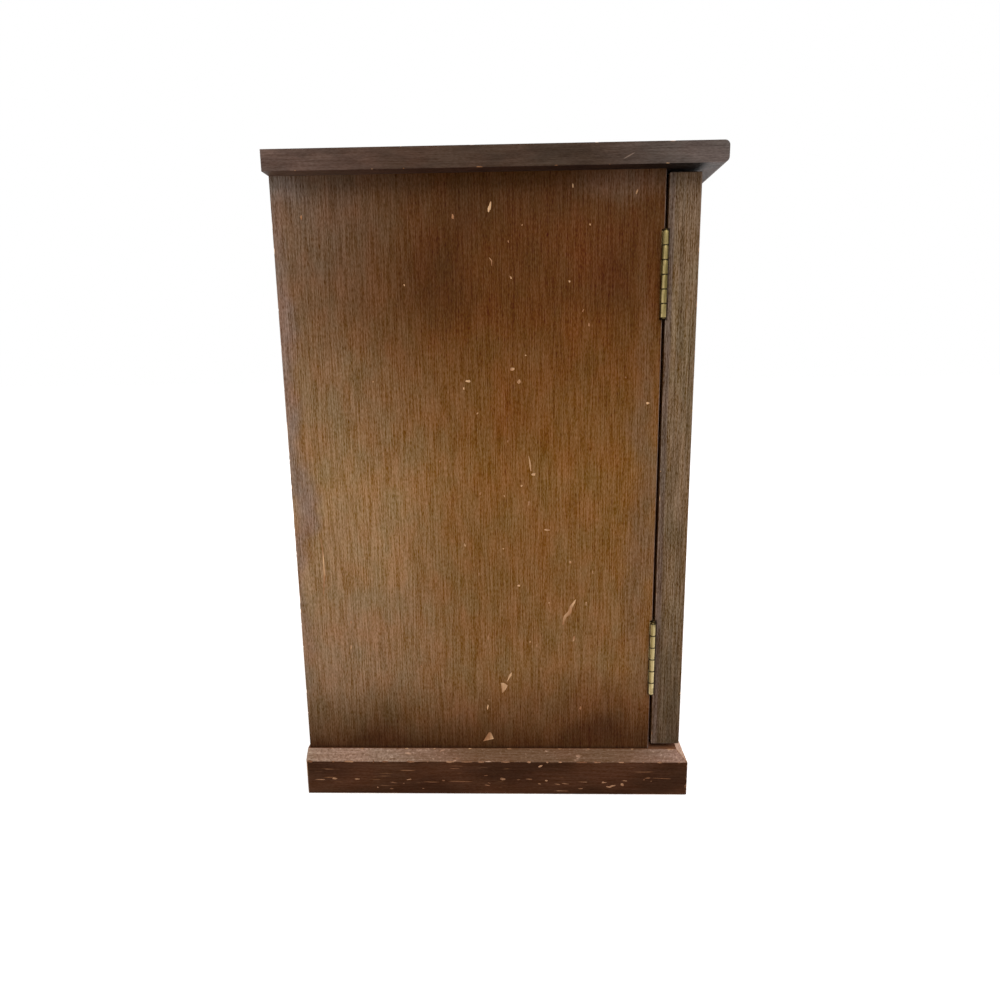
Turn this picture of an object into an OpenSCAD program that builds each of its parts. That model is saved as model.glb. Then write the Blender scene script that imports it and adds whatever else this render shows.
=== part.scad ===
// A tabletop cabinet with two doors, in stained wood on a chamfered plinth, with brass butt hinges.
// Millimetres, +Z up, front towards -Y. The origin lies on the surface that the cabinet stands on,
// in the middle of its width and of its depth over the knobs.

/* [Case] */
// Width over the outer faces of the two sides
case_w = 432; // [380:1:520]
// Depth of the sides, from their back edges to their front edges
side_depth = 237.3; // [210:0.1:280]
// Height of the sides, between the plinth and the top
side_h = 377; // [345:1:430]
// Thickness of the sides
side_t = 19.05; // [16:0.05:25]
// How much is planed off the front arrises of the sides and the shelf
edge_ease = 0.5; // [0.2:0.1:1.5]
// Thickness of the bottom board
bottom_t = 19.05; // [16:0.05:22]
// Thickness of the plywood back
back_t = 6; // [4:0.5:9]
// How far the back laps onto each side, in its rabbet
back_lap = 9.5; // [7:0.5:12]
// Width of the two rails under the top, front to back
rail_w = 60; // [50:1:80]
// Thickness of the two rails under the top
rail_t = 19.05; // [16:0.05:22]

/* [Top] */
// Thickness of the top
top_t = 12; // [10:0.5:18]
// Overhang of the top past each side
top_side_overhang = 12.5; // [8:0.5:25]
// Overhang of the top past the front of the doors
top_front_overhang = 12; // [5:0.5:17]
// Radius of the two long arrises at the front of the top
top_round = 3; // [0.5:0.5:4.5]

/* [Plinth] */
// Height of the plinth
plinth_h = 31.5; // [26:0.5:50]
// Width of the plinth's rails, which lie flat
plinth_w = 50; // [46:1:70]
// Size of the chamfer round the top of the plinth, along each face
plinth_chamfer = 6.4; // [3:0.2:10]
// Flat ledge between each side of the case and the chamfer
plinth_ledge = 0.8; // [0.4:0.1:4]
// How far the plinth stands in front of the doors
plinth_front_reach = 4.9; // [2:0.1:12]
// How far the plinth stands behind the sides
plinth_back_reach = 1.5; // [0:0.1:6]
// How much is worn off the lower and rear outer arrises of the plinth
plinth_ease = 0.8; // [0.2:0.1:2]

/* [Doors] */
// Thickness of the doors
door_t = 19.05; // [16:0.05:22]
// Gap between the front edges of the case and the back faces of the doors
door_gap = 2; // [1.5:0.1:2.6]
// Gap between the doors and the top
door_top_gap = 1.9; // [1:0.1:4]
// Gap between the doors and the plinth
door_bottom_gap = 3.7; // [2:0.1:6]
// Gap between the two doors where they meet
meeting_gap = 2; // [1:0.1:4]
// How much is planed off the arrises of the doors
door_ease = 0.5; // [0.2:0.1:1.5]

/* [Hinges] */
// Length of each hinge
hinge_len = 50.8; // [40:0.1:64]
// Number of knuckles on each hinge, half of them on each leaf
knuckles = 6; // [4:2:8]
// Diameter of the knuckles
knuckle_d = 3.8; // [3.4:0.1:4.4]
// Thickness of the leaves
leaf_t = 1; // [0.8:0.1:1.2]
// Width of the leaves, from the axis of the pin to their inner edges
leaf_w = 17; // [15:0.5:18.5]
// Diameter of the hinge pins
pin_d = 1.8; // [1.4:0.1:2]
// Diameter of the domed ends of the hinge pins
pin_head_d = 3; // [2.4:0.1:3.4]
// Height of the domed ends of the hinge pins
pin_head_h = 0.9; // [0.5:0.1:1.2]
// Gap between the knuckles and the outer face of the side
knuckle_stand = 0.3; // [0.1:0.1:1]
// Gap between one knuckle and the next
knuckle_gap = 0.2; // [0.1:0.05:0.4]
// How much taller than the hinge its gain in the side is, at each end
gain_end = 1; // [0.2:0.1:2]
// Distance of the upper hinge's middle below the top of the door
upper_hinge_drop = 58.4; // [45:0.1:90]
// Distance of the lower hinge's middle above the bottom of the door
lower_hinge_rise = 64.2; // [45:0.1:90]
// Diameter of the hinge screws
hinge_screw_d = 2.4; // [2:0.1:2.8]
// Diameter of the hinge screws' heads
hinge_screw_head_d = 4.4; // [4:0.1:5]
// Length of the hinge screws
hinge_screw_len = 12; // [9:0.5:14]
// Distance of the row of hinge screws from the axis of the pin
hinge_screw_row = 9.5; // [8.5:0.1:10.5]
// How far the end screws and the middle screw of a leaf stand off that row
hinge_screw_stagger = 1.8; // [0:0.1:2]
// Distance of the end screws from the ends of the leaf
hinge_screw_end = 7; // [5:0.5:10]

/* [Knobs] */
// Diameter of the knobs
knob_d = 22; // [18:1:28]
// How far the knobs stand out from the doors
knob_len = 22; // [18:1:30]
// Diameter of the knobs' feet
knob_foot_d = 14; // [12:0.5:17]
// Thickness of the knobs' feet
knob_foot_h = 2.4; // [1.6:0.2:3.6]
// Diameter of the knobs' necks
knob_neck_d = 9; // [8:0.5:10]
// Thickness of the knobs' rims
knob_rim_t = 8; // [6:0.5:10]
// How far the face of each knob rises over its rim
knob_crown = 2; // [1:0.5:3]
// Distance of the knobs from the meeting edges of the doors
knob_inset = 30; // [20:1:60]
// Height of the knobs above the bottom of the doors
knob_rise = 195; // [150:1:240]
// Diameter of the screws that hold the knobs
knob_screw_d = 4; // [3.5:0.1:4.5]
// Diameter of those screws' heads
knob_screw_head_d = 8; // [7:0.5:9]
// Height of those screws' heads
knob_screw_head_h = 2.2; // [1.6:0.2:2.8]
// How far those screws reach into the knobs
knob_screw_bite = 9; // [7:0.5:12]

/* [Catches] */
// Distance of each catch from the middle of the cabinet
catch_x = 38; // [34:1:80]
// Width of a catch's housing without its ears
catch_w = 26; // [24:1:32]
// Width of each of its two ears
catch_ear = 10; // [9:0.5:14]
// Thickness of the ears
catch_ear_t = 3; // [2:0.5:4]
// Depth of the housing, front to back
catch_depth = 15; // [14:0.5:20]
// Height of the housing
catch_h = 12; // [11:0.5:16]
// Width of the magnet and of its pole plates
magnet_w = 18; // [14:1:20]
// Thickness of the magnet
magnet_t = 5; // [3:0.5:5.5]
// Thickness of each pole plate
pole_t = 1.2; // [0.8:0.1:1.6]
// Depth of the pole plates, front to back
pole_depth = 12; // [8:0.5:12.5]
// How far the pole plates stand in front of the magnet
pole_lip = 1.5; // [0.5:0.5:2.5]
// Thickness of the strike plates on the doors
strike_t = 0.8; // [0.5:0.1:1]
// Width of the strike plates
strike_w = 24; // [20:1:30]
// Height of the strike plates
strike_h = 13; // [11:0.5:18]
// Gap between a strike plate and the pole plates
strike_gap = 0.35; // [0.3:0.05:0.5]
// Diameter of the screws that hold the catches and the strike plates
small_screw_d = 2.8; // [2.4:0.1:3.2]
// Diameter of those screws' heads
small_screw_head_d = 5; // [4.6:0.1:5.6]
// Length of those screws
small_screw_len = 13; // [10:0.5:15]

/* [Shelf] */
// Thickness of the shelf
shelf_t = 12; // [9:0.5:18]
// How far the shelf's front edge lies behind the front edges of the sides
shelf_setback = 15; // [8:1:40]
// Room between the shelf and what stands round it
shelf_play = 1; // [0.5:0.5:2]
// Diameter of the shelf pins where they enter the sides
shelf_pin_d = 5; // [4:0.5:6]
// How deep the shelf pins enter the sides
shelf_pin_depth = 9; // [7:0.5:11]
// Diameter of the pegs that the shelf lies on
peg_d = 7; // [6.5:0.5:9]
// Length of those pegs
peg_len = 8; // [6:0.5:12]
// Distance of the pin holes from the front edge of each side and from the back
pin_inset = 37; // [30:1:50]
// Distance from one pin hole to the next
pin_pitch = 32; // [20:1:36]
// Number of holes above the shelf's pins, and again below them
pin_spares = 2; // [0:1:3]
// Height of the shelf pins above the bottom board
shelf_pin_rise = 160; // [140:1:180]

/* [Fixings] */
// Diameter of the dowels
dowel_d = 8; // [6:0.5:9]
// Length of the dowels
dowel_len = 30; // [26:1:34]
// How deep the dowels of the case enter the sides
dowel_in_side = 12; // [9:0.5:13]
// Distance of the dowels from the edges of the board that they hold
dowel_edge = 14; // [12:0.5:17]
// Diameter of the wood screws in the plinth and the top
screw_d = 3.6; // [3:0.1:4.2]
// Diameter of those screws' heads
screw_head_d = 7; // [6:0.1:8]
// How far the top's screws reach into the top
top_screw_bite = 7; // [5:0.5:8]
// Distance of the top's end screws from the inner faces of the sides
top_screw_end = 45; // [32:1:70]
// How far the plinth's screws reach into the case
plinth_screw_bite = 14; // [10:0.5:15]
// Depth of the bores that the heads of the plinth's screws lie in
plinth_screw_bore = 10; // [6:0.5:14]
// Distance of the plinth's screws from the front and back edges of the sides
plinth_screw_end = 38; // [35:1:60]
// Distance of the front and rear plinth screws from the inner faces of the sides
plinth_screw_inset = 60; // [35:1:100]
// Diameter of the nails in the back
nail_d = 1.4; // [1:0.1:1.8]
// Diameter of the nails' heads
nail_head_d = 3.2; // [2.6:0.1:4]
// Thickness of the nails' heads
nail_head_t = 0.8; // [0.5:0.1:1]
// Length of the nails
nail_len = 20; // [16:0.5:24]
// Largest distance from one nail to the next
nail_pitch = 60; // [40:1:90]
// Distance of the first and last nail of a row from the row's ends
nail_end = 28; // [26:1:40]

/* [Hidden] */

$fn = 48;
// Colours of the finishes
veneer = [0.45, 0.31, 0.19];
door_wood = [0.42, 0.33, 0.24];
top_wood = [0.28, 0.21, 0.16];
plinth_wood = [0.33, 0.2, 0.12];
inner_wood = [0.62, 0.45, 0.29];
ply_wood = [0.68, 0.53, 0.36];
dowel_wood = [0.8, 0.66, 0.46];
brass = [0.72, 0.6, 0.33];
steel = [0.6, 0.6, 0.6];
dark_plastic = [0.22, 0.13, 0.08];
magnet_grey = [0.18, 0.18, 0.19];
// How far a cut runs past the face that it opens
over = 1;
// Clearance round a pin in its bore, and round a screw, nail or dowel in the wood
pin_clear = 0.05;
wood_clear = 0.05;
// Room at the ends of a dowel, for the glue
dowel_end_room = 0.5;
// Room round the inner edge of a hinge leaf in its gain, and round a knuckle in the other leaf
gain_clear = 0.2;
notch_clear = 0.3;
// Length and end radius of a screw's or nail's point
tip_len = 2.5;
tip_r = 0.2;
// Width and depth of the slot in a screw's head
slot_w = 0.6;
slot_depth = 0.5;
// Room round the heads of the plinth's screws
head_room = 0.5;
// Room round the magnet and its pole plates
magnet_play = 0.1;
// How far the face of a catch's housing lies behind the front edges of the case
housing_setback = 0.3;

// Places along X, from the middle plane to the left and to the right
half_w = case_w / 2;
inner_half = half_w - side_t;
plinth_half = half_w + plinth_ledge + plinth_chamfer;
door_w = half_w - meeting_gap / 2;
hinge_axis_x = half_w + knuckle_stand + knuckle_d / 2;
knob_x = meeting_gap / 2 + knob_inset;

// Places along Y, from the back to the front
front_reach = max(knob_len, top_front_overhang, plinth_front_reach);
back_y = (side_depth + door_gap + door_t + front_reach - plinth_back_reach) / 2;
inner_back = back_y - back_t;
case_front = back_y - side_depth;
door_back = case_front - door_gap;
door_front = door_back - door_t;
plinth_front_y = door_front - plinth_front_reach;
plinth_back_y = back_y + plinth_back_reach;
hinge_axis_y = door_back + knuckle_d / 2;

// Heights, from the floor to the top
inner_floor = plinth_h + bottom_t;
case_top = plinth_h + side_h;
rail_z = case_top - rail_t;
door_z = plinth_h + door_bottom_gap;
door_h = side_h - door_bottom_gap - door_top_gap;
lower_hinge_z = door_z + lower_hinge_rise;
upper_hinge_z = door_z + door_h - upper_hinge_drop;
knob_z = door_z + knob_rise;
shelf_pin_z = inner_floor + shelf_pin_rise;

// Sizes that follow from others
knuckle_r = knuckle_d / 2;
knuckle_h = hinge_len / knuckles;
gain_depth = knuckle_d - door_gap;
gain_w = leaf_w - (hinge_axis_x - half_w) + gain_clear;
plinth_screw_len = plinth_h - plinth_screw_bore + plinth_screw_bite;
pole_gap_h = magnet_t + 2 * pole_t;
catch_z = rail_z - catch_h / 2;
pole_front = door_back + strike_t + strike_gap;
pocket_back = pole_front + pole_depth + magnet_play;

// Evenly spread places from a to b, no further apart than pitch
function spread(a, b, pitch) = let (n = ceil((b - a) / pitch)) [for (i = [0:n]) a + i * (b - a) / n];

// Common shapes

// A rectangle with its corners planed off by e
module eased_rectangle(w, h, e) {
    polygon([[e, 0], [w - e, 0], [w, e], [w, h - e], [w - e, h], [e, h], [0, h - e], [0, e]]);
}

// A board with one corner at the origin and every arris planed off by e
module eased_board(size, e) {
    intersection() {
        linear_extrude(size.z) eased_rectangle(size.x, size.y, e);
        translate([0, size.y, 0]) rotate([90, 0, 0]) linear_extrude(size.y) eased_rectangle(size.x, size.z, e);
        rotate([90, 0, 90]) linear_extrude(size.x) eased_rectangle(size.y, size.z, e);
    }
}

// A countersunk wood screw with a slot, its head at the origin and its point towards -Z
module wood_screw(len, d, head_d) {
    difference() {
        rotate_extrude() polygon([
            [0, 0], [head_d / 2, 0], [d / 2, -(head_d - d) / 2], [d / 2, tip_len - len], [tip_r, -len], [0, -len]
        ]);
        translate([-head_d, -slot_w / 2, -slot_depth]) cube([2 * head_d, slot_w, slot_depth + over]);
    }
}

// The countersunk hole for that screw, with room to drive it from above
module wood_screw_hole(len, d, head_d) {
    c = wood_clear;
    rotate_extrude() polygon([
        [0, over], [head_d / 2 + c, over], [head_d / 2 + c, 0], [d / 2 + c, -(head_d - d) / 2],
        [d / 2 + c, -len - c], [0, -len - c]
    ]);
}

// A flat-headed nail, its head's face at the origin and its point towards -Z, larger all round by grow
module nail(grow = 0) {
    r = nail_d / 2 + grow;
    head_r = nail_head_d / 2 + grow;
    rotate_extrude() polygon([
        [0, grow], [head_r, grow], [head_r, -nail_head_t], [r, -nail_head_t], [r, tip_len - nail_len],
        [tip_r + grow, -nail_len - grow], [0, -nail_len - grow]
    ]);
}

// A dowel with chamfered ends along Z, from the origin upwards
module dowel() {
    r = dowel_d / 2;
    e = edge_ease;
    rotate_extrude() polygon([
        [0, 0], [r - e, 0], [r, e], [r, dowel_len - e], [r - e, dowel_len], [0, dowel_len]
    ]);
}

// The hole for that dowel
module dowel_hole() {
    translate([0, 0, -dowel_end_room])
        cylinder(r = dowel_d / 2 + wood_clear, h = dowel_len + 2 * dowel_end_room);
}

// Turns a fixing that points towards -Z so that it points to the back, to the front or up
module to_back() { rotate([90, 0, 0]) children(); }
module to_front() { rotate([-90, 0, 0]) children(); }
module upward() { rotate([180, 0, 0]) children(); }

// Puts its children on the left and, mirrored, on the right
module both_sides() {
    children();
    mirror([1, 0, 0]) children();
}

// Places that two or more pieces share

// The case's dowels at the left: two in each rail and two in the bottom board, lying along X
module left_case_dowel_places() {
    rail_mid = rail_z + rail_t / 2;
    bottom_mid = plinth_h + bottom_t / 2;
    spots = [
        [case_front + dowel_edge, rail_mid], [case_front + rail_w - dowel_edge, rail_mid],
        [inner_back - rail_w + dowel_edge, rail_mid], [inner_back - dowel_edge, rail_mid],
        [case_front + dowel_edge, bottom_mid], [inner_back - dowel_edge, bottom_mid]
    ];
    for (p = spots) translate([-inner_half - dowel_in_side, p.x, p.y]) rotate([0, 90, 0]) children();
}

// The plinth's dowels at the left: two across the mitre and two in the joint of the rear rail
module left_plinth_dowel_places() {
    along_mitre = (plinth_w / 2 - dowel_edge) * [-1, 1];
    for (s = along_mitre)
        translate([-plinth_half + plinth_w / 2 + s, plinth_front_y + plinth_w / 2 + s, plinth_h / 2])
            rotate([0, 90, -45]) translate([0, 0, -dowel_len / 2]) children();
    for (y = [plinth_back_y - dowel_edge, plinth_back_y - plinth_w + dowel_edge])
        translate([-plinth_half + plinth_w - dowel_len / 2, y, plinth_h / 2]) rotate([0, 90, 0]) children();
}

// The top's screws, three in each rail
module top_screw_places() {
    x = inner_half - top_screw_end;
    for (y = [case_front + rail_w / 2, inner_back - rail_w / 2], i = [-1:1])
        translate([i * x, y, rail_z]) upward() children();
}

// The plinth's screws: three into each side, and three into each long edge of the bottom board
module plinth_screw_places() {
    side_x = half_w - side_t / 2;
    bottom_x = inner_half - plinth_screw_inset;
    front_y = (case_front + plinth_front_y + plinth_w) / 2;
    rear_y = (inner_back + plinth_back_y - plinth_w) / 2;
    side_ys = [case_front + plinth_screw_end, (case_front + back_y) / 2, back_y - plinth_screw_end];
    for (s = [-1, 1], y = side_ys) translate([s * side_x, y, plinth_screw_bore]) upward() children();
    for (i = [-1:1], y = [front_y, rear_y]) translate([i * bottom_x, y, plinth_screw_bore]) upward() children();
}

// The nails round the edge of the back
module nail_places() {
    x = inner_half + back_lap / 2;
    rows = [plinth_h + bottom_t / 2, case_top - rail_t / 2];
    for (z = rows, i = spread(nail_end - inner_half, inner_half - nail_end, nail_pitch))
        translate([i, back_y, z]) to_front() children();
    for (s = [-1, 1], z = spread(plinth_h + nail_end, case_top - nail_end, nail_pitch))
        translate([s * x, back_y, z]) to_front() children();
}

// The rows of holes for the shelf's pins at the left, where "which" lists holes up from the shelf's own
module left_shelf_pin_places(which) {
    for (y = [case_front + pin_inset, inner_back - pin_inset], i = which)
        translate([-inner_half, y, shelf_pin_z + i * pin_pitch]) children();
}

// One left hinge: the axis of the pin, at the hinge's lower end
module left_hinge_place(z) { translate([-hinge_axis_x, hinge_axis_y, z - hinge_len / 2]) children(); }
module left_hinge_places() { for (z = [lower_hinge_z, upper_hinge_z]) left_hinge_place(z) children(); }

// The three screws of a leaf, in the hinge's own place
module leaf_screw_places() {
    for (i = [-1:1]) {
        off_row = (i == 0 ? 1 : -1) * hinge_screw_stagger;
        z = hinge_len / 2 + i * (hinge_len / 2 - hinge_screw_end);
        translate([hinge_screw_row + off_row, 0, z]) children();
    }
}

// The screws of the left hinges, in the case and in the door
module left_frame_screw_places() {
    left_hinge_places() leaf_screw_places() translate([0, knuckle_r - leaf_t, 0]) to_back() children();
}
module left_door_screw_places() {
    left_hinge_places() leaf_screw_places() translate([0, leaf_t - knuckle_r, 0]) to_front() children();
}

// The middle of the left knob's foot on the front of the door, looking out along +Z
module left_knob_place() { translate([-knob_x, door_front, knob_z]) rotate([90, 0, 0]) children(); }

// The screws in the left catch's ears, and the screw in the left strike plate
module left_catch_screw_places() {
    y = case_front + housing_setback + catch_depth / 2;
    for (s = [-1, 1]) translate([-catch_x + s * (catch_w + catch_ear) / 2, y, rail_z - catch_ear_t])
        upward() children();
}
module left_strike_screw_place() {
    translate([-catch_x, door_back + strike_t, catch_z]) to_front() children();
}

// Holes that two or more pieces share
module hinge_screw_hole() { wood_screw_hole(hinge_screw_len, hinge_screw_d, hinge_screw_head_d); }
module small_screw_hole() { wood_screw_hole(small_screw_len, small_screw_d, small_screw_head_d); }
module top_screw_hole() { wood_screw_hole(rail_t + top_screw_bite, screw_d, screw_head_d); }
module plinth_screw_hole() {
    wood_screw_hole(plinth_screw_len, screw_d, screw_head_d);
    cylinder(r = screw_head_d / 2 + head_room, h = plinth_screw_bore + over);
}
module shelf_pin_hole() {
    rotate([0, -90, 0]) translate([0, 0, -over])
        cylinder(r = shelf_pin_d / 2 + pin_clear, h = over + shelf_pin_depth + dowel_end_room);
}

// The case

module top_board() {
    depth = back_y - door_front + top_front_overhang;
    width = case_w + 2 * top_side_overhang;
    r = top_round;
    color(top_wood) difference() {
        translate([-width / 2, door_front - top_front_overhang, case_top]) rotate([90, 0, 90])
            linear_extrude(width) union() {
                translate([r, 0]) square([depth - r, top_t]);
                translate([0, r]) square([r, top_t - 2 * r]);
                for (z = [r, top_t - r]) translate([r, z]) circle(r);
            }
        top_screw_places() top_screw_hole();
    }
}

// The left side, standing upright, with its rabbet for the back and its gains for the hinges
module left_side() {
    e = edge_ease;
    outline = [[0, e], [e, 0], [side_t - e, 0], [side_t, e], [side_t, side_depth], [0, side_depth]];
    color(veneer) difference() {
        translate([-half_w, case_front, plinth_h]) linear_extrude(side_h) polygon(outline);
        translate([-inner_half - back_lap, inner_back, plinth_h - over])
            cube([back_lap + over, back_t + over, side_h + 2 * over]);
        for (z = [lower_hinge_z, upper_hinge_z])
            translate([-half_w - over, case_front - over, z - hinge_len / 2 - gain_end])
                cube([gain_w + over, gain_depth + over, hinge_len + 2 * gain_end]);
        left_frame_screw_places() hinge_screw_hole();
        left_case_dowel_places() dowel_hole();
        left_shelf_pin_places([-pin_spares:pin_spares]) shelf_pin_hole();
        plinth_screw_places() plinth_screw_hole();
        nail_places() nail(wood_clear);
    }
}

module right_side() { mirror([1, 0, 0]) left_side(); }

module bottom_board() {
    color(inner_wood) difference() {
        translate([-inner_half, case_front, plinth_h]) cube([2 * inner_half, inner_back - case_front, bottom_t]);
        both_sides() left_case_dowel_places() dowel_hole();
        plinth_screw_places() plinth_screw_hole();
        nail_places() nail(wood_clear);
    }
}

module back_panel() {
    half = inner_half + back_lap - wood_clear;
    color(ply_wood) difference() {
        translate([-half, inner_back, plinth_h]) cube([2 * half, back_t, side_h]);
        nail_places() nail(wood_clear);
    }
}

// A rail under the top, with its front edge at y
module top_rail(y) {
    difference() {
        translate([-inner_half, y, rail_z]) cube([2 * inner_half, rail_w, rail_t]);
        both_sides() left_case_dowel_places() dowel_hole();
        top_screw_places() top_screw_hole();
        nail_places() nail(wood_clear);
        both_sides() left_catch_screw_places() small_screw_hole();
    }
}

module top_front_rail() { color(inner_wood) top_rail(case_front); }
module top_back_rail() { color(inner_wood) top_rail(inner_back - rail_w); }

module shelf() {
    half = inner_half - shelf_play;
    depth = inner_back - shelf_play - case_front - shelf_setback;
    e = edge_ease;
    color(inner_wood) translate([-half, case_front + shelf_setback, shelf_pin_z + peg_d / 2]) rotate([90, 0, 90])
        linear_extrude(2 * half)
            polygon([[e, 0], [depth, 0], [depth, shelf_t], [e, shelf_t], [0, shelf_t - e], [0, e]]);
}

module shelf_pins() {
    color(brass) both_sides() left_shelf_pin_places([0]) rotate([0, 90, 0]) rotate_extrude() polygon([
        [0, -shelf_pin_depth], [shelf_pin_d / 2, -shelf_pin_depth], [shelf_pin_d / 2, 0], [peg_d / 2, 0],
        [peg_d / 2, peg_len], [0, peg_len]
    ]);
}

// The plinth

// The section of a plinth rail, with its outer face at x = 0
module plinth_section() {
    c = plinth_chamfer;
    e = plinth_ease;
    polygon([[e, 0], [plinth_w, 0], [plinth_w, plinth_h], [c, plinth_h], [0, plinth_h - c], [0, e]]);
}

module plinth_front() {
    x = plinth_half;
    w = plinth_w;
    color(plinth_wood) difference() {
        translate([0, plinth_front_y, 0]) intersection() {
            translate([-x, 0, 0]) rotate([90, 0, 90]) linear_extrude(2 * x) plinth_section();
            linear_extrude(plinth_h) polygon([[-x, 0], [x, 0], [x - w, w], [w - x, w]]);
        }
        both_sides() left_plinth_dowel_places() dowel_hole();
        plinth_screw_places() plinth_screw_hole();
    }
}

module plinth_left() {
    len = plinth_back_y - plinth_front_y;
    w = plinth_w;
    e = plinth_ease;
    color(plinth_wood) difference() {
        translate([-plinth_half, plinth_front_y, 0]) intersection() {
            translate([0, len, 0]) rotate([90, 0, 0]) linear_extrude(len) plinth_section();
            linear_extrude(plinth_h) polygon([[0, 0], [w, w], [w, len], [e, len], [0, len - e]]);
        }
        left_plinth_dowel_places() dowel_hole();
        plinth_screw_places() plinth_screw_hole();
    }
}

module plinth_right() { mirror([1, 0, 0]) plinth_left(); }

module plinth_back() {
    half = plinth_half - plinth_w;
    color(plinth_wood) difference() {
        translate([-half, plinth_back_y - plinth_w, 0]) cube([2 * half, plinth_w, plinth_h]);
        both_sides() left_plinth_dowel_places() dowel_hole();
        plinth_screw_places() plinth_screw_hole();
    }
}

// Dowels, screws and nails of the case and the plinth

module case_dowels() { color(dowel_wood) both_sides() left_case_dowel_places() dowel(); }
module plinth_dowels() { color(dowel_wood) both_sides() left_plinth_dowel_places() dowel(); }
module top_screws() {
    color(steel) top_screw_places() wood_screw(rail_t + top_screw_bite, screw_d, screw_head_d);
}
module plinth_screws() { color(steel) plinth_screw_places() wood_screw(plinth_screw_len, screw_d, screw_head_d); }
module back_nails() { color(steel) nail_places() nail(); }

// The hinges

// A leaf with every second knuckle, from knuckle number first on, in the hinge's own place: the axis of
// the pin is the Z axis, and the leaf lies towards +X, on the side of the knuckles that faces -Y
module hinge_leaf(first) {
    reach = knuckle_r + notch_clear;
    color(brass) difference() {
        union() {
            translate([0, -knuckle_r, 0]) cube([leaf_w, leaf_t, hinge_len]);
            cylinder(r = knuckle_r, h = hinge_len);
        }
        for (i = [1 - first:2:knuckles - 1]) {
            low = i == 0 ? -over : i * knuckle_h - knuckle_gap / 2;
            high = i == knuckles - 1 ? hinge_len + over : (i + 1) * knuckle_h + knuckle_gap / 2;
            translate([-reach, -reach, low]) cube([2 * reach, 2 * reach, high - low]);
        }
        translate([0, 0, -over]) cylinder(r = pin_d / 2 + pin_clear, h = hinge_len + 2 * over);
        leaf_screw_places() translate([0, leaf_t - knuckle_r, 0]) to_front() hinge_screw_hole();
    }
}

module left_door_leaf(z) { left_hinge_place(z) hinge_leaf(1); }
module left_frame_leaf(z) { left_hinge_place(z) mirror([0, 1, 0]) hinge_leaf(0); }

// A pin with a domed head under the lowest knuckle and another over the highest
module left_hinge_pin(z) {
    dome_r = (pow(pin_head_d / 2, 2) + pow(pin_head_h, 2)) / (2 * pin_head_h);
    top = hinge_len + knuckle_gap;
    color(brass) left_hinge_place(z) rotate_extrude() union() {
        square([pin_d / 2, top]);
        intersection() {
            translate([0, dome_r - pin_head_h]) circle(dome_r);
            translate([0, -pin_head_h]) square([pin_head_d, pin_head_h]);
        }
        intersection() {
            translate([0, top - dome_r + pin_head_h]) circle(dome_r);
            translate([0, top]) square([pin_head_d, pin_head_h]);
        }
    }
}

module left_upper_frame_leaf() { left_frame_leaf(upper_hinge_z); }
module left_lower_frame_leaf() { left_frame_leaf(lower_hinge_z); }
module right_upper_frame_leaf() { mirror([1, 0, 0]) left_frame_leaf(upper_hinge_z); }
module right_lower_frame_leaf() { mirror([1, 0, 0]) left_frame_leaf(lower_hinge_z); }
module left_upper_hinge_pin() { left_hinge_pin(upper_hinge_z); }
module left_lower_hinge_pin() { left_hinge_pin(lower_hinge_z); }
module right_upper_hinge_pin() { mirror([1, 0, 0]) left_hinge_pin(upper_hinge_z); }
module right_lower_hinge_pin() { mirror([1, 0, 0]) left_hinge_pin(lower_hinge_z); }
module left_upper_door_leaf() { left_door_leaf(upper_hinge_z); }
module left_lower_door_leaf() { left_door_leaf(lower_hinge_z); }
module right_upper_door_leaf() { mirror([1, 0, 0]) left_door_leaf(upper_hinge_z); }
module right_lower_door_leaf() { mirror([1, 0, 0]) left_door_leaf(lower_hinge_z); }

module hinge_screw() { color(brass) wood_screw(hinge_screw_len, hinge_screw_d, hinge_screw_head_d); }
module hinge_frame_screws() { both_sides() left_frame_screw_places() hinge_screw(); }
module left_door_hinge_screws() { left_door_screw_places() hinge_screw(); }
module right_door_hinge_screws() { mirror([1, 0, 0]) left_door_hinge_screws(); }

// The catches under the front rail

// A housing with two ears, and a pocket that opens to the front
module left_catch_housing() {
    pocket_w = magnet_w + 2 * magnet_play;
    pocket_h = pole_gap_h + 2 * magnet_play;
    y = case_front + housing_setback;
    ears_w = catch_w + 2 * catch_ear;
    color(dark_plastic) difference() {
        union() {
            translate([-catch_x - catch_w / 2, y, rail_z - catch_h]) cube([catch_w, catch_depth, catch_h]);
            translate([-catch_x - ears_w / 2, y, rail_z - catch_ear_t]) cube([ears_w, catch_depth, catch_ear_t]);
        }
        translate([-catch_x - pocket_w / 2, y - over, catch_z - pocket_h / 2])
            cube([pocket_w, pocket_back - y + over, pocket_h]);
        left_catch_screw_places() small_screw_hole();
    }
}

module left_catch_magnet() {
    color(magnet_grey) translate([-catch_x - magnet_w / 2, pole_front + pole_lip, catch_z - magnet_t / 2])
        cube([magnet_w, pole_depth - pole_lip, magnet_t]);
}

// The two steel plates above and below the magnet
module left_catch_poles() {
    color(steel) for (z = [catch_z - pole_gap_h / 2, catch_z + magnet_t / 2])
        translate([-catch_x - magnet_w / 2, pole_front, z]) cube([magnet_w, pole_depth, pole_t]);
}

module right_catch_housing() { mirror([1, 0, 0]) left_catch_housing(); }
module right_catch_magnet() { mirror([1, 0, 0]) left_catch_magnet(); }
module right_catch_poles() { mirror([1, 0, 0]) left_catch_poles(); }

module small_screw() { color(steel) wood_screw(small_screw_len, small_screw_d, small_screw_head_d); }
module catch_screws() { both_sides() left_catch_screw_places() small_screw(); }

// The doors

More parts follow.
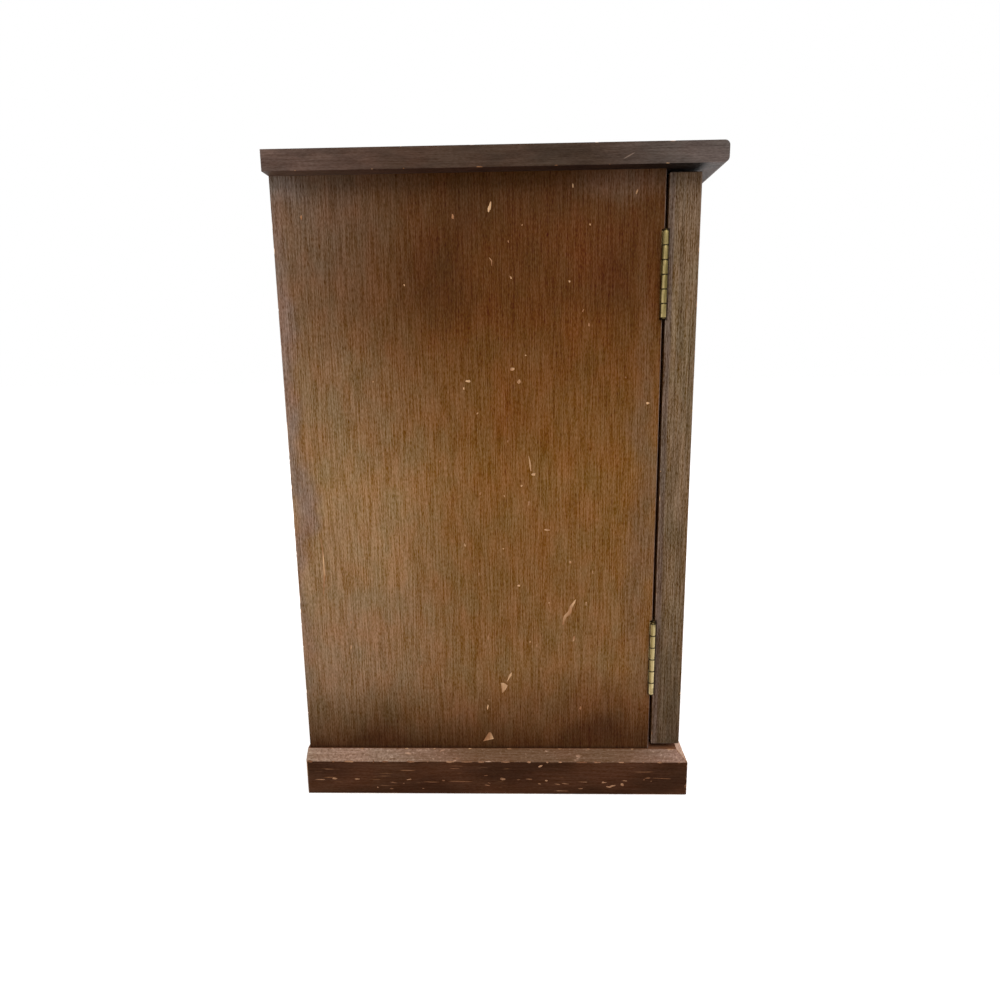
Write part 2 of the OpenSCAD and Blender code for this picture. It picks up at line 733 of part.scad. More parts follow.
module left_door() {
    color(door_wood) difference() {
        translate([-half_w, door_front, door_z]) eased_board([door_w, door_t, door_h], door_ease);
        left_door_screw_places() hinge_screw_hole();
        left_strike_screw_place() small_screw_hole();
        left_knob_place() translate([0, 0, -door_t - over])
            cylinder(r = knob_screw_d / 2 + wood_clear, h = door_t + 2 * over);
    }
}

// A turned knob: a round foot, a neck that runs out to a rounded rim, and a gently domed face
module left_knob() {
    r = knob_d / 2;
    rim_z = knob_len - knob_crown - knob_rim_t;
    cove_r = (rim_z - knob_foot_h) / 2;
    crown_r = (r * r + knob_crown * knob_crown) / (2 * knob_crown);
    color(brass) left_knob_place() difference() {
        rotate_extrude() intersection() {
            union() {
                square([knob_foot_d / 2 - knob_foot_h / 2, knob_foot_h]);
                translate([knob_foot_d / 2 - knob_foot_h / 2, knob_foot_h / 2]) circle(knob_foot_h / 2);
                difference() {
                    square([knob_neck_d / 2 + cove_r, rim_z + knob_rim_t / 2]);
                    translate([knob_neck_d / 2 + cove_r, knob_foot_h + cove_r]) circle(cove_r);
                    translate([knob_neck_d / 2 + cove_r / 2, -over]) square([knob_d, over + knob_foot_h + cove_r]);
                }
                translate([0, rim_z]) square([r - knob_rim_t / 2, knob_len - rim_z]);
                translate([r - knob_rim_t / 2, rim_z + knob_rim_t / 2]) circle(knob_rim_t / 2);
            }
            translate([0, knob_len - crown_r]) circle(crown_r);
            square([knob_d, knob_len]);
        }
        translate([0, 0, -over])
            cylinder(r = knob_screw_d / 2 + wood_clear, h = over + knob_screw_bite + dowel_end_room);
    }
}

// A round-headed screw with a slot, from the inside of the door into the knob
module left_knob_screw() {
    r = knob_screw_d / 2;
    head_r = knob_screw_head_d / 2;
    dome_r = (head_r * head_r + knob_screw_head_h * knob_screw_head_h) / (2 * knob_screw_head_h);
    color(steel) left_knob_place() translate([0, 0, -door_t]) difference() {
        rotate_extrude() union() {
            square([r, door_t + knob_screw_bite]);
            intersection() {
                translate([0, dome_r - knob_screw_head_h]) circle(dome_r);
                translate([0, -knob_screw_head_h]) square([head_r, knob_screw_head_h]);
            }
        }
        translate([-head_r, -slot_w / 2, -knob_screw_head_h - over])
            cube([2 * head_r, slot_w, over + knob_screw_head_h / 2]);
    }
}

module left_strike_plate() {
    color(steel) difference() {
        translate([-catch_x - strike_w / 2, door_back, catch_z - strike_h / 2]) cube([strike_w, strike_t, strike_h]);
        left_strike_screw_place() small_screw_hole();
    }
}

module left_strike_screw() { left_strike_screw_place() small_screw(); }

module right_door() { mirror([1, 0, 0]) left_door(); }
module right_knob() { mirror([1, 0, 0]) left_knob(); }
module right_knob_screw() { mirror([1, 0, 0]) left_knob_screw(); }
module right_strike_plate() { mirror([1, 0, 0]) left_strike_plate(); }
module right_strike_screw() { mirror([1, 0, 0]) left_strike_screw(); }

top_board();
left_side();
right_side();
bottom_board();
back_panel();
top_front_rail();
top_back_rail();
shelf();
shelf_pins();
plinth_front();
plinth_left();
plinth_right();
plinth_back();
case_dowels();
plinth_dowels();
top_screws();
plinth_screws();
back_nails();
left_upper_frame_leaf();
left_lower_frame_leaf();
right_upper_frame_leaf();
right_lower_frame_leaf();
left_upper_hinge_pin();
left_lower_hinge_pin();
right_upper_hinge_pin();
right_lower_hinge_pin();
hinge_frame_screws();
left_catch_housing();
right_catch_housing();
left_catch_magnet();
right_catch_magnet();
left_catch_poles();
right_catch_poles();
catch_screws();
left_door();
left_upper_door_leaf();
left_lower_door_leaf();
left_door_hinge_screws();
left_knob();
left_knob_screw();
left_strike_plate();
left_strike_screw();
right_door();
right_upper_door_leaf();
right_lower_door_leaf();
right_door_hinge_screws();
right_knob();
right_knob_screw();
right_strike_plate();
right_strike_screw();
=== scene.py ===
import math
import random

import bmesh
import bpy
from mathutils import Matrix, Vector


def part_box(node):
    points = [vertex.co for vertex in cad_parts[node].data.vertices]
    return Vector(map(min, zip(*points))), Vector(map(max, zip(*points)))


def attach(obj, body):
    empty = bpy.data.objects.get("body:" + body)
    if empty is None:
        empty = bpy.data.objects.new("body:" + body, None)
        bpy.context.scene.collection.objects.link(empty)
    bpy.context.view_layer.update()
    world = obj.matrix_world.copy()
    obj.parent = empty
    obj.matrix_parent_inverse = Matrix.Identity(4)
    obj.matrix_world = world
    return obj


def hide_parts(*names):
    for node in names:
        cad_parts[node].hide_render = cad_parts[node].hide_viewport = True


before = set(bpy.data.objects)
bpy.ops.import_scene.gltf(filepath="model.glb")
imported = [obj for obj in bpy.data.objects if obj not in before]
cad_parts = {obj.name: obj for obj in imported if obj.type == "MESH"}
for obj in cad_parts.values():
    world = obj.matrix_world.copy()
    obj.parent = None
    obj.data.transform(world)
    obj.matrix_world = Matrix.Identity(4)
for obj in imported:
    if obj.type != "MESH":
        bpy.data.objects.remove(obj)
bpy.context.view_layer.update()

# The place it is seen from: at arm's length from the cabinet's left side, above the middle of its
# height, with the front to the right.
side_low, side_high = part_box("left_side")
eye = Vector((side_low.x - 0.4606, side_high.y - 0.1497, 0.3066))
eye_yaw = math.radians(1.676)
eye_pitch = math.radians(-11.921)
eye_roll = math.radians(-0.741)
ahead = Vector((math.cos(eye_pitch) * math.cos(eye_yaw), math.cos(eye_pitch) * math.sin(eye_yaw),
                math.sin(eye_pitch)))
level = ahead.cross(Vector((0, 0, 1))).normalized()
upright = level.cross(ahead)
rightward = level * math.cos(eye_roll) + upright * math.sin(eye_roll)
upward = upright * math.cos(eye_roll) - level * math.sin(eye_roll)
camera = bpy.data.objects.new("camera", bpy.data.cameras.new("camera"))
camera.data.sensor_width = 36
camera.data.lens = 26.06
camera.data.clip_start = 0.01
camera.matrix_world = Matrix((rightward, upward, -ahead)).transposed().to_4x4()
camera.matrix_world.translation = eye
bpy.context.scene.collection.objects.link(camera)
bpy.context.scene.camera = camera
bpy.context.scene.view_settings.view_transform = "Standard"


# The light and the floor: a large soft lamp above the left side, weaker ones at the front and the
# back, an even pale surround, and a pale floor that keeps the cabinet's shadow.
class Wire:
    """One output of a node. Arithmetic on it adds Math nodes to its graph."""

    def __init__(self, graph, socket):
        self.graph = graph
        self.socket = socket

    def maths(self, operation, *values):
        return self.graph.node("ShaderNodeMath", {"operation": operation}, dict(enumerate(values)))

    def __add__(self, other):
        return self.maths("ADD", self, other)

    def __sub__(self, other):
        return self.maths("SUBTRACT", self, other)

    def __rsub__(self, other):
        return self.maths("SUBTRACT", other, self)

    def __mul__(self, other):
        return self.maths("MULTIPLY", self, other)

    def __truediv__(self, other):
        return self.maths("DIVIDE", self, other)

    def __abs__(self):
        return self.maths("ABSOLUTE", self)

    __radd__ = __add__

    def larger(self, other):
        return self.maths("MAXIMUM", self, other)

    def smaller(self, other):
        return self.maths("MINIMUM", self, other)

    def rise(self, low, high):
        """0 at low, 1 at high and a smooth slope between them."""
        settings = {"interpolation_type": "SMOOTHSTEP"}
        return self.graph.node("ShaderNodeMapRange", settings, {0: self, 1: low, 2: high, 3: 0.0, 4: 1.0})


class Graph:
    """A tree of nodes: of a material, of the surround or of a Geometry Nodes modifier."""

    def __init__(self, tree):
        self.tree = tree

    def node(self, kind, settings=None, inputs=None, out=0):
        """Adds a node, gives it its settings, sets or links its inputs, and returns one of its outputs."""
        made = self.tree.nodes.new(kind)
        for name, value in (settings or {}).items():
            if name == "stops":
                while len(made.color_ramp.elements) < len(value):
                    made.color_ramp.elements.new(1.0)
                for element, (position, color) in zip(made.color_ramp.elements, value):
                    element.position = position
                    element.color = color
            else:
                setattr(made, name, value)
        for key, value in (inputs or {}).items():
            if isinstance(value, Wire):
                self.tree.links.new(value.socket, made.inputs[key])
            else:
                made.inputs[key].default_value = value
        return Wire(self, made.outputs[out]) if made.outputs else None


def lamp(name, place, size, power):
    """A round lamp, of a size in metres and a power in watts, which shines at the cabinet's middle."""
    made = bpy.data.objects.new(name, bpy.data.lights.new(name, "AREA"))
    made.data.shape = "DISK"
    made.data.size = size
    made.data.energy = power
    made.location = place
    aim = Vector((0, 0, 0.2)) - made.location
    made.rotation_euler = aim.to_track_quat("-Z", "Y").to_euler()
    bpy.context.scene.collection.objects.link(made)


def seen_directly(graph):
    """1 for what the eye, a reflection or a clear surface sees, and 0 for the light on a surface."""
    seen = graph.node("ShaderNodeLightPath", out="Is Camera Ray")
    for name in ("Is Glossy Ray", "Is Transmission Ray"):
        seen = seen.larger(graph.node("ShaderNodeLightPath", out=name))
    return seen


lamp("high_lamp", (-1.3, -0.35, 1.5), size=1.1, power=17)
lamp("front_lamp", (0.5, -1.7, 1.0), size=1.2, power=9)
lamp("back_lamp", (0.6, 1.7, 1.1), size=1.2, power=9)

surround = bpy.data.worlds.new("surround")
bpy.context.scene.world = surround
surround.use_nodes = True
surround.node_tree.nodes.clear()
graph = Graph(surround.node_tree)
shed = graph.node("ShaderNodeBackground", None, {"Color": (1, 1, 1, 1), "Strength": 0.62})
shown = graph.node("ShaderNodeBackground", None, {"Color": (1, 1, 1, 1), "Strength": 1.0})
sky = graph.node("ShaderNodeMixShader", None, {0: seen_directly(graph), 1: shed, 2: shown})
graph.node("ShaderNodeOutputWorld", None, {"Surface": sky})

floor_reach = 6.0
floor_mesh = bpy.data.meshes.new("floor")
corners = [(-floor_reach, -floor_reach, 0), (floor_reach, -floor_reach, 0),
           (floor_reach, floor_reach, 0), (-floor_reach, floor_reach, 0)]
floor_mesh.from_pydata(corners, [], [(0, 1, 2, 3)])
floor = bpy.data.objects.new("floor", floor_mesh)
bpy.context.scene.collection.objects.link(floor)
pale = bpy.data.materials.new("pale_floor")
pale.use_nodes = True
pale.node_tree.nodes.clear()
graph = Graph(pale.node_tree)
matt = graph.node("ShaderNodeBsdfDiffuse", None, {"Color": (0.8, 0.8, 0.8, 1)})
glow = graph.node("ShaderNodeEmission", None, {"Color": (1, 1, 1, 1), "Strength": 0.56})
bright = graph.node("ShaderNodeAddShader", None, {0: matt, 1: glow})
sheet = graph.node("ShaderNodeMixShader", None, {0: seen_directly(graph), 1: matt, 2: bright})
graph.node("ShaderNodeOutputMaterial", None, {"Surface": sheet})
floor.data.materials.append(pale)


# The plinth: four solid rails, dowelled at the corners, with a chamfer round the top. They are stained
# a dark red-brown. Feet and brooms have rubbed the chamfer pale and scratched the faces, and a painted
# highlight pales the chamfer further, most on the front rail.
MM = 0.001


def srgb(red, green, blue):
    """A colour as a screen shows it, 0 to 255 each, as a shader takes it."""
    shares = [value / 255 for value in (red, green, blue)]
    return (*(s / 12.92 if s <= 0.04045 else ((s + 0.055) / 1.055) ** 2.4 for s in shares), 1.0)


class Finish(Graph):
    """A material: one Principled shader and a graph that reads the place and the way the surface faces."""

    def __init__(self, name, constants):
        self.material = bpy.data.materials.new(name)
        self.material.use_nodes = True
        super().__init__(self.material.node_tree)
        self.shader = self.tree.nodes["Principled BSDF"]
        for socket, value in constants.items():
            self.shader.inputs[socket].default_value = value
        self.place = self.node("ShaderNodeTexCoord", out="Object")
        self.facing = self.node("ShaderNodeTexCoord", out="Normal")

    def part(self, vector, axis):
        return self.node("ShaderNodeSeparateXYZ", None, {0: vector}, out="xyz".index(axis))

    def noise(self, per_metre, detail=2.0, shift=0.0, roughness=0.5, out=0):
        """Smooth random values about 0.5, which change per_metre times in a metre along X, Y and Z."""
        spot = self.node("ShaderNodeMapping", None, {"Vector": self.place, "Location": (shift, shift, shift),
                                                     "Scale": per_metre})
        return self.node("ShaderNodeTexNoise", None, {"Vector": spot, "Scale": 1.0, "Detail": detail,
                                                      "Roughness": roughness}, out)

    def mix(self, share, first, second, blend="MIX"):
        settings = {"data_type": "RGBA", "blend_type": blend}
        return self.node("ShaderNodeMix", settings, {0: share, 6: first, 7: second}, out=2)

    def scaled(self, color, factor):
        return self.node("ShaderNodeVectorMath", {"operation": "SCALE"}, {0: color, "Scale": factor})

    def ramp(self, value, stops):
        """A colour that changes with a length. Each stop is a length in millimetres and its colour."""
        low, high = stops[0][0], stops[-1][0]
        share = self.node("ShaderNodeMapRange", None, {0: value, 1: low * MM, 2: high * MM})
        colors = [((at - low) / (high - low), srgb(*shade)) for at, shade in stops]
        return self.node("ShaderNodeValToRGB", {"stops": colors}, {0: share})

    def cloud(self, spot, centre, radii):
        """1 near centre, falling smoothly to 0 at radii from it."""
        off = self.node("ShaderNodeMapping", {"vector_type": "TEXTURE"},
                        {"Vector": spot, "Location": centre, "Scale": radii})
        far = self.node("ShaderNodeVectorMath", {"operation": "LENGTH"}, {0: off}, out="Value")
        return far.rise(1.0, 0.1)

    def shape(self, color, roughness, height=None, strength=0.3, depth=0.1 * MM):
        """Joins the colour, the roughness and the height of the surface to the shader."""
        self.tree.links.new(color.socket, self.shader.inputs["Base Color"])
        self.tree.links.new(roughness.socket, self.shader.inputs["Roughness"])
        if height is not None:
            relief = {"Height": height, "Strength": strength, "Distance": depth}
            bump = self.node("ShaderNodeBump", None, relief)
            self.tree.links.new(bump.socket, self.shader.inputs["Normal"])
        return self.material


satin = {"Specular IOR Level": 0.05}
darkest = (0.002, 0.002, 0.002)


def along_grain(axis, across, lengthwise):
    return tuple(lengthwise if each == axis else across for each in "xyz")


def arris_of(finish):
    """1 on the planed and rounded arrises, which face no axis, and 0 on the flat faces."""
    flattest = abs(finish.part(finish.facing, "x"))
    for axis in "yz":
        flattest = flattest.larger(abs(finish.part(finish.facing, axis)))
    return flattest.rise(0.975, 0.86)


def open_pored(finish, color, axis, contrast=1.0, roughness=0.42):
    """Draws the grain along axis over color, and gives the wood its sheen and its open pores."""
    bands = finish.noise(along_grain(axis, 170, 9), 3.0, 3.7)
    patches = finish.noise(along_grain(axis, 55, 40), 2.0, 8.8).rise(0.35, 0.65)
    streaks = finish.noise(along_grain(axis, 1450, 42), 1.0).rise(0.32, 0.68)
    fibres = finish.noise(along_grain(axis, 1900, 430), 1.0, 7.3).rise(0.32, 0.68)
    pores = finish.noise(along_grain(axis, 1700, 200), 0.0, 3.1).rise(0.6, 0.74)
    fine = (streaks - 0.5) * 0.56 + (fibres - 0.5) * 0.54 - pores * 0.25
    tone = (bands - 0.5) * 0.3 + fine * contrast + 0.03
    grey = finish.node("ShaderNodeRGBToBW", None, {0: color})
    color = finish.scaled(color, tone * 0.5 + 1.0)
    color = finish.node("ShaderNodeVectorMath", {"operation": "ADD"}, {0: color, 1: grey * tone * 0.5})
    color = finish.node("ShaderNodeVectorMath", {"operation": "MAXIMUM"}, {0: color, 1: darkest})
    tint = finish.mix(patches, (1.03, 0.985, 0.96, 1), (0.98, 1.01, 0.99, 1))
    color = finish.mix(1.0, color, tint, "MULTIPLY")
    dull = finish.noise((25, 25, 25), 3.0, 1.9)
    relief = fibres * 0.35 + streaks * 0.3 - pores
    return finish.shape(color, roughness + dull * 0.12 + pores * 0.15, relief, 0.5)


def bare_wood():
    """The pale wood that shows where the stain and the skin of the wood have come off."""
    finish = Finish("bare_wood", satin)
    old = finish.noise((55, 55, 55), 2.0).rise(0.38, 0.6)
    color = finish.mix(old, srgb(204, 164, 124), srgb(154, 108, 74))
    # Low down, on the plinth, it is dirtier.
    dirt = finish.part(finish.place, "z").rise(34 * MM, 26 * MM)
    color = finish.mix(dirt * 0.75, color, finish.mix(old, srgb(160, 116, 88), srgb(112, 74, 52)))
    fibres = finish.noise((1500, 1500, 160), 2.0, 4.2).rise(0.3, 0.7)
    return finish.shape(finish.scaled(color, 0.85 + fibres * 0.25), 0.75 + fibres * 0.1, fibres, 0.6)


bare = bare_wood()


def plinth_finish(name, axis, back, ends):
    """The stain of a plinth rail, with a painted highlight on its chamfer. ends are the chamfer's colours,
    rubbed and lit, from the back to the front.
    """
    finish = Finish(name, satin)
    drift = finish.noise(along_grain(axis, 60, 14), 3.0, 2.2).rise(0.35, 0.65)
    color = finish.mix(drift, srgb(52, 28, 13), srgb(71, 42, 25))
    across = back - finish.part(finish.place, "y")
    rubbed_and_lit = finish.ramp(across, ends)
    # The rubbed grain is coarsest towards the back and the front.
    speckle = finish.noise((620, 620, 620), 3.0, 8.4, 0.7)
    grainy = 0.12 + across.rise(120 * MM, 60 * MM) * 0.45 + across.rise(225 * MM, 255 * MM) * 0.45
    rubbed_and_lit = finish.mix(speckle.rise(0.53, 0.68) * grainy, rubbed_and_lit, srgb(190, 158, 138))
    rubbed_and_lit = finish.mix(speckle.rise(0.46, 0.34) * grainy, rubbed_and_lit, srgb(92, 60, 42))
    patch = finish.noise((40, 40, 40), 3.0, 6.6)
    flake = finish.noise(along_grain(axis, 230, 90), 3.0, 1.2, 0.6).rise(0.6, 0.68) * patch.rise(0.42, 0.56)
    rubbed_and_lit = finish.mix(flake * 0.7, rubbed_and_lit, srgb(200, 160, 134))
    # The chamfer, found by facing upward, takes the rubbed colours, which carry a painted highlight where it
    # faces the light.
    upward = finish.part(finish.facing, "z")
    slope = upward.rise(0.45, 0.62) * upward.rise(0.95, 0.8)
    color = finish.mix(slope, color, rubbed_and_lit)
    color = finish.mix(upward.rise(0.9, 0.97), color, srgb(112, 72, 48))
    edge = arris_of(finish) * (1.0 - slope) * (0.25 + patch.rise(0.42, 0.56) * 0.75)
    color = finish.mix(edge, color, srgb(166, 126, 96))
    scratch = finish.noise(along_grain(axis, 900, 40), 2.0, 9.1).rise(0.64, 0.69) * patch.rise(0.5, 0.62)
    color = finish.mix(scratch * (1.0 - slope) * 0.6, color, srgb(140, 96, 66))
    return open_pored(finish, color, axis, 0.6, 0.46)


def cut_shape(cutter, rim, floor):
    """Adds a closed shape to a cutter: its rim stands clear of the wood and its floor lies in it."""
    count = len(rim)
    swept = sum((a.cross(b) for a, b in zip(rim, rim[1:] + rim[:1])), Vector())
    outward = sum(rim, Vector()) - sum(floor, Vector())
    if swept.dot(outward) < 0:
        rim = rim[::-1]
        floor = floor[::-1]
    above = [cutter.verts.new(point) for point in rim]
    below = [cutter.verts.new(point) for point in floor]
    cutter.faces.new(above)
    cutter.faces.new(reversed(below))
    for k in range(count):
        cutter.faces.new((above[k], below[k], below[(k + 1) % count], above[(k + 1) % count]))


def chips(cutter, dice, place, marks):
    """Adds chips to a cutter. Each is its place across and up the face, its width and its height, in
    millimetres, and its lean in degrees."""
    corners = 8
    clear = 0.25
    deep = 0.2
    for across, up, width, tall, lean in marks:
        turn = Matrix.Rotation(math.radians(-lean), 2)
        rim, floor = [], []
        for k in range(corners):
            angle = 2 * math.pi * (k + dice.uniform(-0.35, 0.35)) / corners
            spot = Vector((math.cos(angle) * width, math.sin(angle) * tall)) * dice.uniform(0.36, 0.66)
            slope = spot.normalized() * min(0.2, 0.4 * spot.length)
            rim.append(place(*(Vector((across, up)) + turn @ (spot + slope)), clear))
            floor.append(place(*(Vector((across, up)) + turn @ (spot - slope)), -deep))
        cut_shape(cutter, rim, floor)


def nick(cutter, dice, centre, along, length, width):
    """Adds a splintered lump to a cutter, which takes a nick out of an arris or a corner."""
    turn = Vector(along).to_track_quat("X", "Z").to_matrix().to_4x4()
    made = bmesh.ops.create_icosphere(cutter, subdivisions=2, radius=0.5)
    for vert in made["verts"]:
        jitter = 1 + dice.uniform(-0.22, 0.22)
        spot = Vector((vert.co.x * length, vert.co.y * width, vert.co.z * width)) * jitter
        vert.co = Vector(centre) + turn @ spot


def arris_nicks(cutter, dice, start, end, count, longest, widest):
    """Adds nicks at random along an arris from start to end."""
    start, end = Vector(start), Vector(end)
    along = (end - start).normalized()
    for k in range(count):
        length = longest * dice.uniform(0.25, 1) ** 1.5
        width = widest * dice.uniform(0.5, 1)
        centre = start.lerp(end, (k + dice.uniform(0.2, 0.8)) / count)
        nick(cutter, dice, centre, along, length, width)


def solid_copy(node):
    """A CAD node's mesh with its loose triangles joined."""
    solid = bmesh.new()
    solid.from_mesh(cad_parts[node].data)
    bmesh.ops.remove_doubles(solid, verts=solid.verts, dist=0.002 * MM)
    bmesh.ops.dissolve_limit(solid, angle_limit=math.radians(0.3), verts=solid.verts, edges=solid.edges)
    return solid


wood_crease = 12
metal_crease = 35


def stand_for(node, name, mesh, body, crease):
    """Shows a mesh in place of a CAD node. Edges that turn by more than crease degrees stay sharp."""
    piece = bpy.data.objects.new(name, mesh)
    bpy.context.scene.collection.objects.link(piece)
    mesh.shade_smooth()
    mesh.set_sharp_from_angle(angle=math.radians(crease))
    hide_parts(node)
    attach(piece, body)


broad_area = 600 * MM * MM
parallel = 0.9999


def worn(node, body, finish, cutter):
    """A copy of a CAD board in its finish, less what the cutter takes out, which shows bare wood. What is
    left of its broad faces is shaded flat."""
    board = bpy.data.objects.new("board", bpy.data.meshes.new(node + "_wood"))
    tool = bpy.data.objects.new("tool", bpy.data.meshes.new("tool"))
    solid = solid_copy(node)
    broad = [face.normal.copy() for face in solid.faces if face.calc_area() > broad_area]
    for each, shape, skin in ((board, solid, finish), (tool, cutter, bare)):
        bpy.context.scene.collection.objects.link(each)
        shape.to_mesh(each.data)
        each.data.materials.append(skin)
    modifier = board.modifiers.new("wear", "BOOLEAN")
    modifier.operation = "DIFFERENCE"
    modifier.solver = "EXACT"
    modifier.use_self = True
    modifier.material_mode = "TRANSFER"
    modifier.object = tool
    result = bpy.data.meshes.new_from_object(board.evaluated_get(bpy.context.evaluated_depsgraph_get()))
    bpy.data.objects.remove(tool)
    bpy.data.objects.remove(board)
    stand_for(node, node + "_wood", result, body, wood_crease)
    for face in result.polygons:
        face.use_smooth = all(face.normal.dot(each) < parallel for each in broad)


plinth_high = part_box("plinth_left")[1]
chamfer = 6.4 * MM
# The chamfer's colours, each after its distance from the cabinet's back in millimetres: rubbed wood with
# a painted highlight, brightest on the front rail.
left_rub_and_light = [(0, (146, 118, 100)), (55, (138, 110, 92)), (120, (102, 72, 50)), (225, (106, 78, 58)),
            (265, (142, 112, 98))]
even_rub_and_light = [(0, (120, 90, 70)), (265, (124, 96, 78))]
front_rub_and_light = [(0, (176, 140, 118)), (265, (176, 140, 118))]
# The left rail's larger marks, as chips takes them. The small ones are scattered by chance.
plinth_marks = [
    (8, 11, 8, 0.7, 2), (18, 12, 3.5, 2, 10), (59, 9, 6, 0.8, 10), (85, 9.5, 12, 0.6, 0),
    (106, 10, 14, 0.8, 1), (136, 12, 3.5, 1.8, 10), (162, 22, 3.5, 1.4, -20), (191, 10, 7, 0.7, 0),
    (212, 7, 5.5, 1, -12), (219, 8, 3, 2, 40), (245, 13, 15, 0.6, 2), (177, 3, 12, 0.7, 0)]
small_marks = 24


def upright_face(outer, back, outward):
    """Where a point of a side's or an end's outer face is, from its distance from the back edge, its
    height and how far it stands out, in millimetres."""
    return lambda across, up, out: Vector((outer + outward * out * MM, back - across * MM, up * MM))


dice = random.Random(31)
for name, axis, ends in (("plinth_left", "y", left_rub_and_light), ("plinth_right", "y", even_rub_and_light),
                         ("plinth_front", "x", front_rub_and_light), ("plinth_back", "x", even_rub_and_light)):
    low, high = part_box(name)
    cutter = bmesh.new()
    shoulder = plinth_high.z - chamfer
    # Each arris is its start and end, its count of nicks, and their longest and widest in millimetres.
    if axis == "y":
        outer = low.x if name == "plinth_left" else high.x
        inner = outer + math.copysign(chamfer, -outer)
        arrises = [((outer, low.y, shoulder), (outer, high.y, shoulder), 20, 9, 1.5),
                   ((outer, low.y, 0), (outer, high.y, 0), 14, 6, 1.5),
                   ((inner, low.y, high.z), (inner, high.y, high.z), 10, 5, 1.0),
                   ((outer, low.y, 0), (outer, low.y, shoulder), 5, 5, 2.2),
                   ((outer, low.y, shoulder), (inner, low.y + chamfer, high.z), 4, 7, 1.9)]
    else:
        outer = low.y if name == "plinth_front" else high.y
        arrises = [((low.x, outer, 0), (high.x, outer, 0), 16, 5, 1.4)]
        if name == "plinth_front":
            arrises.append(((low.x, outer, shoulder), (high.x, outer, shoulder), 22, 6, 1.3))
    for start, end, count, longest, widest in arrises:
        arris_nicks(cutter, dice, start, end, count, longest * MM, widest * MM)
    if name == "plinth_left":
        chips(cutter, dice, upright_face(low.x, side_high.y, -1), plinth_marks)
        chips(cutter, dice, upright_face(low.x, side_high.y, -1),
              [(dice.triangular(4, 258, 220), dice.uniform(3, 15), dice.uniform(1, 5), dice.uniform(0.5, 1.1),
                dice.uniform(-12, 12)) for k in range(small_marks)])
        nick(cutter, dice, (outer, low.y, 6.5 * MM), (0, 0, 1), 4 * MM, 2.6 * MM)
    stain = plinth_finish(name + "_stain", axis, plinth_high.y, ends)
    worn(name, "carcass", stain, cutter)


# The sides: veneered boards, stained brown with a satin finish. Years of handling have clouded the
# stain of the left one, and knocks have chipped the veneer down to the pale wood. Painted shade darkens
# the low part of each side, and a painted sheen pales the back of each.
hinge_places = [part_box(f"left_{level}_hinge_pin") for level in ("upper", "lower")]


def hinge_grime_and_shade(finish, edge, reach):
    """1 in the dark line along the hinges, dirt and painted shade, which runs along edge and fades within
    reach of it.
    """
    height = finish.part(finish.place, "z")
    near = abs(finish.part(finish.place, "y") - edge).rise(reach, reach * 0.4)
    held = 0.0
    for low, high in hinge_places:
        held = (height.rise(low.z - 1 * MM, low.z) * height.rise(high.z + 1 * MM, high.z)).larger(held)
    outside = abs(finish.part(finish.place, "x")).rise(-side_low.x - 2 * MM, -side_low.x - 0.5 * MM)
    return near * held * outside


# The stain's colours near the back edge and further forward, each after its height in millimetres.
# The darkening below about 90 mm is painted shade.
tan_part = [(34, (60, 34, 12)), (60, (96, 70, 46)), (90, (130, 100, 74)), (220, (140, 108, 74)),
            (320, (106, 78, 54)), (406, (102, 80, 64))]
amber_part = [(34, (66, 38, 14)), (60, (98, 64, 36)), (90, (118, 84, 50)), (230, (116, 78, 38)),
              (330, (86, 50, 16)), (406, (74, 44, 18))]


def side_finish(name, outward, back, front, clouds):
    """The stain of a side, with painted shade low down and a painted sheen along the back edge. Each
    cloud is its distance from the back edge and its height, its reach along both, in millimetres, its
    colour and its strength."""
    finish = Finish(name, satin)
    drift = finish.noise((13, 13, 13), 3.0, 4.4, 0.6, out=1)
    centred = finish.node("ShaderNodeVectorMath", {"operation": "SUBTRACT"}, {0: drift, 1: (0.5, 0.5, 0.5)})
    spot = finish.node("ShaderNodeVectorMath", {"operation": "ADD"},
                       {0: finish.place, 1: finish.scaled(centred, 0.05)})
    height = finish.part(spot, "z")
    # The tan part lies along the back edge and narrows near the top. Its paler, greyer colour is partly
    # the stain and partly a painted sheen.
    across = back - finish.part(spot, "y") + height.rise(270 * MM, 330 * MM) * (25 * MM)
    tan = finish.ramp(height, tan_part)
    amber = finish.ramp(height, amber_part)
    color = finish.mix(across.rise(25 * MM, 135 * MM), tan, amber)
    for place, z, wide, tall, shade, strength in clouds:
        cloud = finish.cloud(spot, (0, back - place * MM, z * MM), (1, wide * MM, tall * MM))
        color = finish.mix(cloud * strength, color, srgb(*shade))
    mottle = finish.noise((70, 70, 38), 4.0, 5.2, 0.6).rise(0.34, 0.66)
    tint = finish.mix(mottle, (1.04, 0.97, 0.9, 1), (0.96, 1.0, 1.02, 1))
    color = finish.mix(1.0, color, tint, "MULTIPLY")
    # A dark line just above the plinth: the joint, with painted shade in the crease there.
    seam_shade = finish.part(finish.place, "z").rise(34.5 * MM, 31.5 * MM)
    color = finish.mix(seam_shade * 0.6, color, srgb(34, 18, 6))
    color = finish.mix(arris_of(finish) * 0.55, color, srgb(124, 104, 96))
    # Dirt and painted shade darken the wood along the hinges.
    color = finish.mix(hinge_grime_and_shade(finish, front, 1.4 * MM) * 0.85, color, srgb(26, 18, 12))
    within = (finish.part(finish.facing, "x") * -outward).rise(0.4, 0.6)
    color = finish.mix(within, color, srgb(132, 96, 62))
    return open_pored(finish, color, "z")


